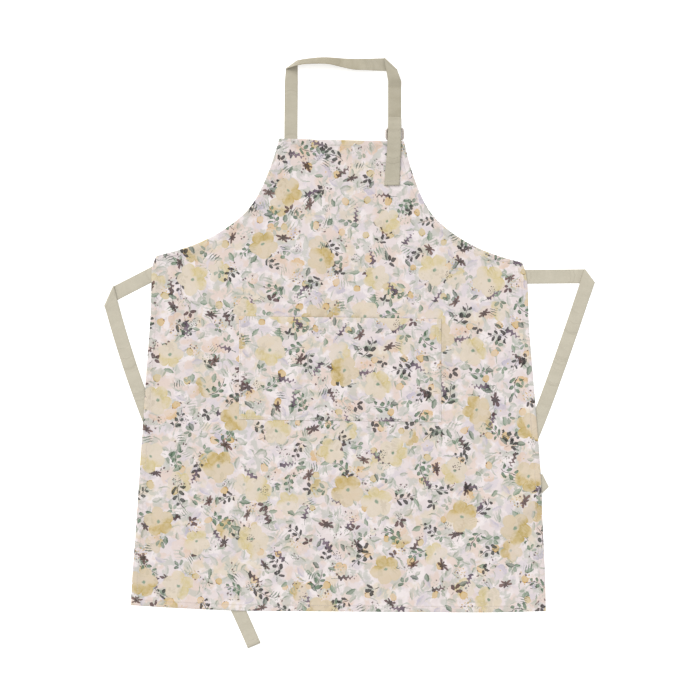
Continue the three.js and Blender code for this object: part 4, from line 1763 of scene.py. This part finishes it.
GROUND = dyed(231, 219, 218)
BUTTER = dyed(221, 206, 171)
MUSTARD = dyed(210, 189, 136)
OCHRE = dyed(212, 178, 106)
PEACH = dyed(228, 206, 192)
APRICOT = dyed(223, 194, 150)
SAGE = dyed(168, 175, 158)
MIST = dyed(192, 194, 184)
GREEN = dyed(130, 153, 128)
FERN = dyed(98, 126, 100)
PINE = dyed(74, 98, 82)
SLATE = dyed(48, 58, 50)
CHARCOAL = dyed(34, 29, 28)
WINE = dyed(76, 40, 40)
BROWN = dyed(108, 74, 66)
PLUM = dyed(94, 70, 94)
LILAC = dyed(206, 197, 207)
LAVENDER = dyed(217, 208, 214)
PAPER = dyed(242, 233, 232)
WHITE = (1.0, 1.0, 1.0)

MOTIFS = (
    Motif(Shape.STROKE, 35, 15, 0.85, 21.0, 15, (MIST, SAGE, MIST), MIST, 0.4, 0.8, 0.06),
    Motif(Shape.LEAF, 36, 12, 0.8, 11.0, 22, (MIST, SAGE, LILAC), MIST, 0.5, 0.75, 0.14),
    Motif(Shape.BLOSSOM, 88, 23, 0.7, 8.0, 37, (PEACH, BUTTER, MUSTARD), SAGE, 0.5, 0.85, 0.12),
    Motif(Shape.BLOSSOM, 66, 15, 0.6, 5.0, 61, (PEACH, APRICOT, LILAC), OCHRE, 0.5, 0.8, 0.12),
    Motif(Shape.LEAF, 33, 9, 0.7, 2.0, 71, (SAGE, MIST, SAGE), MIST, 0.4, 0.8, 0.12),
    Motif(Shape.BLADES, 52, 15, 0.6, 23.0, 44, (SAGE, MIST), SAGE, 0.35, 0.8, 0.05),
    Motif(Shape.SPRAY, 52, 14, 0.65, 6.0, 40, (SAGE, MIST, OCHRE), WINE, 0.2, 0.85, 0.04),
    Motif(Shape.FRUIT, 50, 10, 0.6, 9.0, 5, (OCHRE, MUSTARD, APRICOT), WINE, 0.2, 0.94, 0.1),
    Motif(Shape.TREFOIL, 58, 15, 0.7, 13.0, 50, (GREEN, SAGE, FERN), FERN, 0.3, 0.92, 0.07),
    Motif(Shape.LEAF, 44, 10, 0.6, 17.0, 8, (FERN, GREEN, PINE), SAGE, 0.25, 0.94, 0.08),
    Motif(Shape.BLADES, 74, 13, 0.6, 4.0, 85, (PINE, GREEN, FERN), PINE, 0.15, 0.92, 0.04),
    Motif(Shape.SPRIG, 68, 20, 0.8, 7.0, 30, (SLATE, CHARCOAL, FERN), CHARCOAL, 0.05, 0.97, 0.04),
    Motif(Shape.SPIKE, 76, 20, 0.7, 12.0, 66, (PLUM, WINE, PLUM), PINE, 0.1, 0.96, 0.04),
    Motif(Shape.STARRY, 78, 14, 0.68, 14.0, 18, (WINE, BROWN), CHARCOAL, 0.05, 0.97, 0.05),
    Motif(Shape.TREFOIL, 74, 15, 0.66, 15.0, 79, (CHARCOAL, WINE), CHARCOAL, 0.05, 0.97, 0.04),
    Motif(Shape.BLOSSOM, 108, 30, 0.85, 3.0, 12, (BUTTER, MUSTARD), GREEN, 0.4, 0.95, 0.08, 0.5),
    Motif(Shape.SPRAY, 90, 9, 0.6, 27.0, 10, (CHARCOAL, PINE), WINE, 0.1, 0.9, 0.04),
)


@dataclass(frozen=True)
class Wash:
    """A broad thin wash: its paint, its scale in blots a millimetre, and how far it spreads."""

    paint: Colour
    scale: float
    seed: float
    low: float
    high: float
    strength: float


WASHES = (
    Wash(PAPER, 0.035, 91.0, 0.46, 0.62, 0.9),
    Wash(LAVENDER, 0.04, 31.0, 0.52, 0.64, 0.7),
    Wash(PEACH, 0.03, 57.0, 0.52, 0.62, 0.7),
    Wash(BUTTER, 0.022, 73.0, 0.58, 0.68, 0.5),
    Wash(MIST, 0.055, 19.0, 0.52, 0.62, 0.65),
)


class Effects:
    """The node groups that the finishes share, each built once."""

    def __init__(self) -> None:
        """Build the groups."""
        self.scatter = self._scatter()
        self.paint = self._paint()
        self.shapes = {shape: self._shape(shape) for shape in Shape}
        self.weave = self._weave()
        self.print = self._print()

    def _scatter(self) -> bpy.types.NodeTree:
        """Places strewn loosely over a grid, each with a square of its own and its own turn.

        Returns:
            The group.
        """
        group = Group(
            "strewn_places",
            {"Place": Vector, "Spacing": float, "Turn": float, "Seed": float, "Size": float,
             "Loose": float},
            {"Square": Vector, "Hue": float, "Chance": float},
        )
        g = group.graph
        turned = g.node("VectorRotate", {"Vector": group.socket("Place"),
                                         "Angle": group.value("Turn")}, rotation_type="Z_AXIS")
        seed = group.value("Seed")
        cells = g.vector("SCALE", turned.outputs[0], g.math("DIVIDE", 1.0, group.value("Spacing")))
        cells = g.vector("ADD", cells, g.joined(seed * 7.31, seed * 3.77))
        near = g.node("TexVoronoi", {"Vector": cells, "Scale": 1.0,
                                     "Randomness": group.value("Loose")},
                      voronoi_dimensions="2D")
        hue, chance, turn = g.parts(near.outputs["Color"])
        away = g.vector("SUBTRACT", cells, near.outputs["Position"])
        spread = group.value("Spacing") / (group.value("Size") * (0.82 + 0.3 * chance))
        away = g.vector("SCALE", away, spread)
        square = g.node("VectorRotate", {"Vector": away, "Angle": turn * (2 * math.pi)},
                        rotation_type="Z_AXIS")
        return group.finish(Square=square.outputs[0], Hue=hue, Chance=chance)

    def _shape(self, shape: Shape) -> bpy.types.NodeTree:
        """A motif's drawing as a group.

        Args:
            shape: The motif.

        Returns:
            The group.
        """
        group = Group(shape.value, {"Square": Vector},
                      {"Inside": float, "Dense": float, "Core": float})
        inside, dense, core = shape.draw(group.graph, group.socket("Square"))
        return group.finish(Inside=inside, Dense=dense, Core=core)

    def _paint(self) -> bpy.types.NodeTree:
        """Watercolour laid over what is there.

        Thin paint shows the ground. Where it pools, at the rim and where the motif is dense, it
        is a double layer: the paint's square over the ground.

        Returns:
            The group.
        """
        group = Group(
            "watercolour",
            {"Under": tuple, "Paint": tuple, "Core Paint": tuple, "Inside": float, "Dense": float,
             "Core": float, "Present": float, "Soft": float, "Pale": float, "Strength": float,
             "Grain": float},
            {"Colour": tuple},
        )
        g = group.graph
        inside, soft = group.value("Inside"), group.value("Soft")
        mask = inside.ease(0.0, soft)
        pool = inside.ease(soft * 2.6, soft * 0.4)
        depth = group.value("Dense") * 0.75 + pool * 0.3 + (group.value("Grain") - 0.5) * 0.6
        thin = (1 - depth).ease(0.0, 1.0) * group.value("Pale")
        single = group.socket("Paint")
        double = g.vector("DIVIDE", g.vector("MULTIPLY", single, single), GROUND)
        paint = g.blend(thin, single, GROUND)
        paint = g.blend(depth.ease(0.45, 1.05), paint, double)
        paint = g.blend(group.value("Core"), paint, group.socket("Core Paint"))
        cover = mask * group.value("Strength") * (0.92 + 0.08 * pool) * group.value("Present")
        return group.finish(Colour=g.blend(cover, group.socket("Under"), paint))

    def _weave(self) -> bpy.types.NodeTree:
        """Plain weave: threads at a pitch both ways, of uneven thickness.

        Returns:
            The group.
        """
        group = Group("plain_weave", {"Place": Vector, "Pitch": float},
                      {"Height": float, "Slub": float})
        g = group.graph
        place = group.socket("Place")
        x, y, _ = g.parts(place)
        turns = g.math("DIVIDE", math.pi, group.value("Pitch"))
        over = g.math("SINE", x * turns) * g.math("SINE", y * turns)
        warp = g.noise(g.joined(x * 1.1, y * 0.07), 1.0, 2.0)
        weft = g.noise(g.joined(x * 0.07, y * 1.1), 1.0, 2.0)
        slub = warp * 0.5 + weft * 0.5
        return group.finish(Height=over * 0.25 + slub, Slub=slub)

    def _print(self) -> bpy.types.NodeTree:
        """The whole print: ground, broad washes, and then the motifs from pale to dark.

        Returns:
            The group.
        """
        group = Group("floral_print", {"Place": Vector}, {"Colour": tuple})
        g = group.graph
        place = group.socket("Place")
        wander = g.vector("SUBTRACT", g.noise_vector(place, 0.045, 1.0), (0.5, 0.5, 0.5))
        waver = g.vector("SUBTRACT", g.noise_vector(place, 0.3, 1.0), (0.5, 0.5, 0.5))
        place = g.vector("ADD", place, g.vector("SCALE", wander, 7.0))
        place = g.vector("ADD", place, g.vector("SCALE", waver, 2.4))
        grain = g.noise(place, 0.12, 3.0, 0.6)
        colour: object = GROUND
        for wash in WASHES:
            offset = g.vector("ADD", place, (wash.seed * 13, wash.seed * 7, 0))
            spread = g.noise(offset, wash.scale, 3.0, 0.55).ease(wash.low, wash.high)
            colour = g.blend(spread * wash.strength, colour, wash.paint)
        for motif in MOTIFS:
            places = g.use(self.scatter, {
                "Place": place, "Spacing": motif.spacing, "Turn": math.radians(motif.turn),
                "Seed": motif.seed, "Size": motif.size, "Loose": motif.loose,
            })
            drawn = g.use(self.shapes[motif.shape], {"Square": places.outputs["Square"]})
            chance = Value(g, places.outputs["Chance"])
            colour = g.use(self.paint, {
                "Under": colour, "Paint": self._hues(g, motif, places.outputs["Hue"]),
                "Core Paint": motif.core, "Inside": drawn.outputs["Inside"],
                "Dense": drawn.outputs["Dense"], "Core": drawn.outputs["Core"],
                "Present": g.math("LESS_THAN", chance, motif.fill), "Soft": motif.soft,
                "Pale": motif.pale, "Strength": motif.strength, "Grain": grain,
            }).outputs["Colour"]
        return group.finish(Colour=colour)

    def _hues(self, g: Graph, motif: Motif, hue: Socket) -> Socket:
        """One of a motif's paints.

        Args:
            g: The graph.
            motif: The motif.
            hue: A number from 0 to 1 that picks the paint.

        Returns:
            The paint.
        """
        ramp = g.node("ValToRGB", {0: hue})
        stops = ramp.color_ramp
        stops.interpolation = "CONSTANT"
        while len(stops.elements) < len(motif.hues):
            stops.elements.new(0.5)
        for index, paint in enumerate(motif.hues):
            stops.elements[index].position = index / len(motif.hues)
            stops.elements[index].color = (*paint, 1.0)
        return ramp.outputs["Color"]


class Finish:
    """A material with one Principled shader, worked on as a graph."""

    def __init__(self, name: str, roughness: float, sheen: float = 0.0) -> None:
        """Start a material.

        Args:
            name: Its name.
            roughness: The shader's roughness.
            sheen: The shader's sheen weight.
        """
        self.material = bpy.data.materials.new(name)
        self.material.use_nodes = True
        self.graph = Graph(self.material.node_tree)
        self.shader = self.material.node_tree.nodes["Principled BSDF"]
        self.shader.inputs["Roughness"].default_value = roughness
        self.shader.inputs["Sheen Weight"].default_value = sheen

    def place(self, shift: tuple[float, float] = (0.0, 0.0)) -> Socket:
        """The place on the cloth in millimetres.

        Args:
            shift: What is added to it.

        Returns:
            The place.
        """
        g = self.graph
        coordinates = g.node("TexCoord").outputs["Object"]
        return g.vector("ADD", g.vector("SCALE", coordinates, 1 / MM), (*shift, 0.0))

    def bump(self, height: object, distance: float, strength: float, below: object = None
             ) -> Socket:
        """A bump node.

        Args:
            height: The height, in 0 to 1.
            distance: What a height of 1 stands for, in metres.
            strength: How much of it shows.
            below: The normal of the coarser form that it lies on, if any.

        Returns:
            The bumped normal.
        """
        inputs = {"Height": height, "Distance": distance, "Strength": strength}
        if below is not None:
            inputs["Normal"] = below
        return self.graph.node("Bump", inputs).outputs["Normal"]

    def finish(self, colour: object, normal: object) -> bpy.types.Material:
        """Join the colour and the normal to the shader.

        Args:
            colour: The colour.
            normal: The normal.

        Returns:
            The material.
        """
        self.graph.feed(self.shader.inputs["Base Color"], colour)
        self.graph.feed(self.shader.inputs["Normal"], normal)
        return self.material


@dataclass(frozen=True)
class PrintedCotton:
    """The panel's and the pocket's cotton: the print, the weave, and painted shade and puckers at
    the seams.
    """

    name: str
    shift: tuple[float, float] = (0.0, 0.0)
    pitch: float = 0.62
    back: Colour = dyed(230, 220, 218)
    back_share: float = 0.72
    weave_dark: Colour = (0.75, 0.74, 0.72)
    weave_share: float = 0.05
    seam_shade: Colour = (0.62, 0.58, 0.57)
    seam_shade_share: float = 0.12
    pucker_reach: tuple[float, float] = (18.0, 6.0)

    def build(self, effects: Effects) -> bpy.types.Material:
        """Build the material.

        Args:
            effects: The shared groups.

        Returns:
            The material.
        """
        finish = Finish(self.name, roughness=0.88, sheen=0.03)
        g = finish.graph
        place = finish.place()
        printed = g.use(effects.print, {"Place": finish.place(self.shift)})
        weave = g.use(effects.weave, {"Place": place, "Pitch": self.pitch})
        slub = Value(g, weave.outputs["Slub"])
        edge, underside = (Value(g, g.marked(name, "Fac")) for name in ("edge", "underside"))
        colour = g.blend(underside * self.back_share, printed.outputs["Colour"], self.back)
        threads = g.blend(slub.ease(0.3, 0.7), self.weave_dark, WHITE)
        colour = g.blend(self.weave_share, colour, threads, "MULTIPLY")
        # Painted shade along the hem seam's line, where the seam presses the cloth in.
        seam = abs(edge - CLOTH.seam).ease(2.2, 0.2)
        colour = g.blend(seam * self.seam_shade_share, colour, self.seam_shade, "MULTIPLY")
        pucker = g.noise(place, 0.16, 2.0) * edge.ease(*self.pucker_reach)
        soft = finish.bump(g.noise(place, 0.018, 3.0, 0.5), 0.004, 0.5)
        puckered = finish.bump(pucker, 0.0012, 0.7, soft)
        woven = finish.bump(weave.outputs["Height"], 0.0002, 0.55, puckered)
        return finish.finish(colour, woven)


@dataclass(frozen=True)
class CottonTape:
    """The tapes' cotton: a fine twill with a firmer edge, slightly mottled, with painted shade in
    its creases, and soil and painted shade along the strap.
    """

    name: str = "cotton_tape"
    cloth: Colour = dyed(201, 194, 175)
    shade: Colour = dyed(187, 180, 160)
    # The colour of the soil and painted shade, multiplied in.
    shade_and_soil: Colour = (0.72, 0.69, 0.61)
    edge_dark: Colour = (0.5, 0.47, 0.4)
    edge_share: float = 0.1
    crease_shade: Colour = (0.5, 0.47, 0.42)
    crease_shade_share: float = 0.16
    rib: float = 1.5
    pitch: float = 0.5
    half_width: float = 12.0
    edge_reach: tuple[float, float] = (1.6, 0.6)

    def build(self) -> bpy.types.Material:
        """Build the material from the mesh's marks across and along the tape and of its soil and
        painted shade.

        Returns:
            The material.
        """
        finish = Finish(self.name, roughness=0.88, sheen=0.15)
        g = finish.graph
        across, along, shade_and_soil_share = g.parts(g.marked("lay", "Vector"))
        ribs = g.math("SINE", (along + abs(across) * 0.9) * (2 * math.pi / self.rib))
        threads = g.math("SINE", across * (2 * math.pi / self.pitch))
        mottle = g.noise(g.joined(across * 0.4, along), 0.05, 3.0, 0.55)
        fleck = g.noise(g.joined(across * 0.35, along * 2.4), 0.7, 2.0)
        firm = abs(across).ease(*(self.half_width - reach for reach in self.edge_reach))
        bent = along + 0.03 * across * across
        line = abs(g.noise(g.joined(bent * 0.05, 0.0), 1.0, 1.0) - 0.5).ease(0.016, 0.0)
        crease = line * g.noise(g.joined(along * 0.03, 5.0), 1.0, 0.0).ease(0.45, 0.6)
        shade = mottle.ease(0.2, 0.8) * 0.55 + fleck.ease(0.3, 0.75) * 0.45
        colour = g.blend(shade, self.cloth, self.shade)
        colour = g.blend(firm * self.edge_share, colour, self.edge_dark, "MULTIPLY")
        # Painted shade along the tape's creases.
        colour = g.blend(crease * self.crease_shade_share, colour, self.crease_shade, "MULTIPLY")
        # Soil and painted shade along the neck strap, mottled.
        shaded_and_soiled = shade_and_soil_share * (0.6 + 0.8 * mottle)
        colour = g.blend(shaded_and_soiled, colour, self.shade_and_soil, "MULTIPLY")
        soft = finish.bump(mottle - crease * 0.25, 0.0016, 0.7)
        height = ribs * 0.3 + threads * 0.1 + firm * 0.3 + fleck * 0.4
        return finish.finish(colour, finish.bump(height, 0.0003, 0.7, soft))


@dataclass(frozen=True)
class RingMetal:
    """The ring's metal: plated wire, brushed and slightly tarnished."""

    name: str = "plated_wire"
    bright: Colour = dyed(222, 212, 204)
    dull: Colour = dyed(186, 174, 165)

    def build(self) -> bpy.types.Material:
        """Build the material.

        Returns:
            The material.
        """
        finish = Finish(self.name, roughness=0.36)
        g = finish.graph
        finish.shader.inputs["Metallic"].default_value = 1.0
        place = finish.place()
        tarnish = g.noise(place, 0.3, 4.0, 0.6).ease(0.35, 0.7)
        colour = g.blend(tarnish, self.bright, self.dull)
        g.feed(finish.shader.inputs["Roughness"], 0.3 + 0.2 * tarnish)
        brushed = g.noise(g.vector("MULTIPLY", place, (2.0, 9.0, 2.0)), 1.0, 2.0)
        return finish.finish(colour, finish.bump(brushed, 0.0001, 0.4))


@dataclass(frozen=True)
class Thread:
    """Sewing thread: two plies that show as slanting turns, with painted shade in the grooves
    between them.
    """

    name: str = "sewing_thread"
    light: Colour = dyed(236, 228, 222)
    dark: Colour = dyed(214, 204, 198)

    def build(self) -> bpy.types.Material:
        """Build the material.

        Returns:
            The material.
        """
        finish = Finish(self.name, roughness=0.7, sheen=0.1)
        g = finish.graph
        x, y, _ = g.parts(finish.place())
        ply = g.math("SINE", (x + y) * 9.0)
        # Painted shade: the dark colour lies in the grooves between the plies, the light one on
        # their crowns.
        colour = g.blend(ply.ease(-0.6, 0.8), self.dark, self.light)
        return finish.finish(colour, finish.bump(ply, 0.0001, 0.5))


@dataclass(frozen=True)
class Studio:
    """The pale table, the soft light and the camera straight above, in metres."""

    distance: float = 3.0
    view_width: float = 1.274
    aim: tuple[float, float] = (0.0218, 0.0438)
    sensor: float = 36.0
    sky: float = 1.0
    key: float = 0.37
    key_height: float = 38.0
    key_from: float = 130.0
    key_spread: float = 40.0
    table: float = 6.0
    board: tuple[float, float] = (0.985, 0.965)
    painted_glow: float = 0.3

    def build(self) -> None:
        """Build the table, the lights and the camera."""
        self._table()
        self._light()
        self._camera()

    def _table(self) -> None:
        """The table: a pale matt board that glows a little, painted light that washes out the
        shadows cast on it.
        """
        half = self.table / 2
        mesh = bpy.data.meshes.new("table_top")
        corners = [(-half, -half, 0), (half, -half, 0), (half, half, 0), (-half, half, 0)]
        mesh.from_pydata(corners, [], [(0, 1, 2, 3)])
        finish = Finish("pale_board", roughness=0.9)
        g = finish.graph
        tone = g.noise(finish.place(), 0.004, 2.0)
        colour = g.blend(tone, *((level, level, level) for level in self.board))
        # Painted light: the board glows, which washes out the shadows cast on it.
        g.feed(finish.shader.inputs["Emission Color"], WHITE)
        g.feed(finish.shader.inputs["Emission Strength"], self.painted_glow)
        finish.finish(colour, finish.bump(tone, 0.0001, 0.1))
        mesh.materials.append(finish.material)
        table = bpy.data.objects.new("table_top", mesh)
        bpy.context.scene.collection.objects.link(table)

    def _light(self) -> None:
        """An even white surround, and a broad key from the upper left."""
        world = bpy.data.worlds.new("surround")
        world.use_nodes = True
        graph = Graph(world.node_tree)
        sky = world.node_tree.nodes["Background"]
        graph.feed(sky.inputs["Color"], WHITE)
        graph.feed(sky.inputs["Strength"], self.sky)
        bpy.context.scene.world = world
        key = bpy.data.lights.new("key", "SUN")
        height = math.radians(self.key_height)
        key.energy = math.pi * self.key / math.sin(height)
        key.angle = math.radians(self.key_spread)
        lamp = bpy.data.objects.new("key", key)
        way = math.radians(self.key_from)
        source = Vector((math.cos(way), math.sin(way), math.tan(height)))
        lamp.rotation_mode = "QUATERNION"
        lamp.rotation_quaternion = source.to_track_quat("Z", "Y")
        bpy.context.scene.collection.objects.link(lamp)

    def _camera(self) -> None:
        """The camera: a long lens straight above, with the bib at the top of the picture."""
        data = bpy.data.cameras.new("camera")
        data.sensor_width = self.sensor
        data.lens = self.sensor * self.distance / self.view_width
        camera = bpy.data.objects.new("camera", data)
        camera.location = (*self.aim, self.distance)
        bpy.context.scene.collection.objects.link(camera)
        bpy.context.scene.camera = camera
        bpy.context.scene.view_settings.view_transform = "Standard"


@dataclass
class Apron:
    """The whole apron: its shapes first, and then its pieces.

    A tape is held by a square of stitches in its lap. The square lies lap_inset past the lap's
    middle and is square_short shorter than the lap.
    """

    print_shift: tuple[float, float] = (173.0, 61.0)
    strap_square: float = 17.0
    tie_square: float = 18.0
    square_short: float = 7.0
    lap_inset: float = 1.0
    stitch_step: float = 3.0
    end_inset: float = 2.0
    end_margin: float = 0.07

    def __post_init__(self) -> None:
        """Lay out the tapes and the cloth over them."""
        self.loop = NeckLoop()
        self.tie_starts = [
            (side_edge(hand, 1 + (TAPE.tie_down - hand * TAPE.tie_offset) / CLOTH.skirt), runs)
            for hand, runs in ((-1, LEFT_TIE), (1, RIGHT_TIE))
        ]
        self.left_tie, self.right_tie = (TieLayer(*start).lay() for start in self.tie_starts)
        self.cloth = LyingCloth(self.left_tie.then(self.right_tie, self.loop.sewn_ends()))
        self.panel = Panel(self.cloth)
        self.pocket = Pocket(self.panel)
        self.strap = self.loop.strap(self.cloth)
        self.tab = self.loop.tab(self.cloth)

    def build(self) -> None:
        """Build every piece."""
        effects = Effects()
        body_cotton = PrintedCotton("printed_cotton").build(effects)
        pocket_cotton = PrintedCotton("pocket_cotton", self.print_shift).build(effects)
        neck_cotton = CottonTape().build()
        tie_cotton = CottonTape("tie_cotton", dyed(210, 203, 184), dyed(196, 189, 170)).build()
        thread = Thread().build()
        hems = self._stitches(self.panel.seams() + self._attachments(), "hem_stitches", thread)
        panel = self.panel.surface().piece("apron_cloth", body_cotton, "body_panel",
                                           "printed_cotton")
        self.panel.area()
        stitches = self._stitches(self.pocket.seams(), "pocket_stitches", thread)
        pocket = self.pocket.surface().piece("patch_pocket", pocket_cotton, "pocket",
                                             "printed_cotton")
        self.pocket.width * MM
        self.pocket.depth * MM
        tapes = (
            ("neck_tape", self.strap, TAPE.neck_width, "neck_strap", neck_cotton),
            ("left_tie_tape", self.left_tie, TAPE.tie_width, "tie_left", tie_cotton),
            ("right_tie_tape", self.right_tie, TAPE.tie_width, "tie_right", tie_cotton),
            ("tab_tape", self.tab, TAPE.neck_width, "ring_tab", neck_cotton),
        )
        shade_and_soil = {"neck_tape": through(SHADE_AND_SOIL_ALONG, SHADE_AND_SOIL, self.strap.along)}
        for name, path, width, node, tape in tapes:
            surface = Surface.ribbon(path, width, shade_and_soil.get(name, 0.0))
            piece = surface.piece(name, tape, node, "cotton_tape")
            sewn = []
            if path.extra[-1] > 0:
                sewn = [self._stitches([self._end_row(path)], name + "_stitches", thread)]
            flat = (round(width * MM, 4), round(float(path.along[-1]) * MM, 4))
            LOG.info("%s: %.3f m long", name, flat[1])
        self.loop.ring().piece("wire_ring", RingMetal().build(), "strap_ring", "ring_metal")

    def _stitches(self, lines: Sequence[Array], name: str, thread: bpy.types.Material
                  ) -> bpy.types.Object:
        """Stitches along lines in space, as one piece."""
        return Stitching(lines).surface().piece(name, thread, None, "printed_cotton")

    def _attachments(self) -> list[Array]:
        """The squares of stitches that hold the strap and the ties to the panel.

        Returns:
            The squares' lines, in space.
        """
        back = TAPE.sewn_lap / 2 + self.lap_inset
        long = TAPE.sewn_lap - self.square_short
        x = self.loop.left_x
        lines = [self._box(np.array([x, bib_top(x) - back]), 0.0, self.strap_square, long)]
        for start, runs in self.tie_starts:
            way = math.radians(runs[0].first)
            middle = start - back * np.array([math.cos(way), math.sin(way)])
            lines.append(self._box(middle, way, long, self.tie_square))
        return lines

    def _end_row(self, path: Ribbon) -> Array:
        """The row of stitches across a tape's turned end.

        Args:
            path: The tape's way.

        Returns:
            The row's two ends, in space.
        """
        at = path.along[-1] - TAPE.end_hem + self.end_inset
        row = int(np.searchsorted(path.along, at))
        high = np.array([0, 0, TAPE.thickness / 2 + path.extra[row]])
        margin = self.end_margin * (path.b[row] - path.a[row])
        return np.stack([path.a[row] + margin, path.b[row] - margin]) + high

    def _box(self, centre: Array, turn: float, width: float, height: float) -> Array:
        """A rectangle of stitches on the panel's front.

        Args:
            centre: Its middle in plan.
            turn: Its turn, in radians.
            width: Its size along the turned x axis.
            height: Its size along the turned y axis.

        Returns:
            Its line, in space.
        """
        half = np.array([width, height]) / 2
        corners = np.array([[-1, -1], [1, -1], [1, 1], [-1, 1], [-1, -1]]) * half
        c, s = math.cos(turn), math.sin(turn)
        fine = resample(centre + corners @ np.array([[c, s], [-s, c]]), self.stitch_step)
        return np.column_stack([fine, self.cloth.front(fine[:, 0], fine[:, 1])])


def main() -> None:
    """Build the studio and the apron."""
    logging.basicConfig(level=logging.INFO, format="%(name)s %(message)s")
    Studio().build()
    Apron().build()


if __name__ == "__main__":
    main()
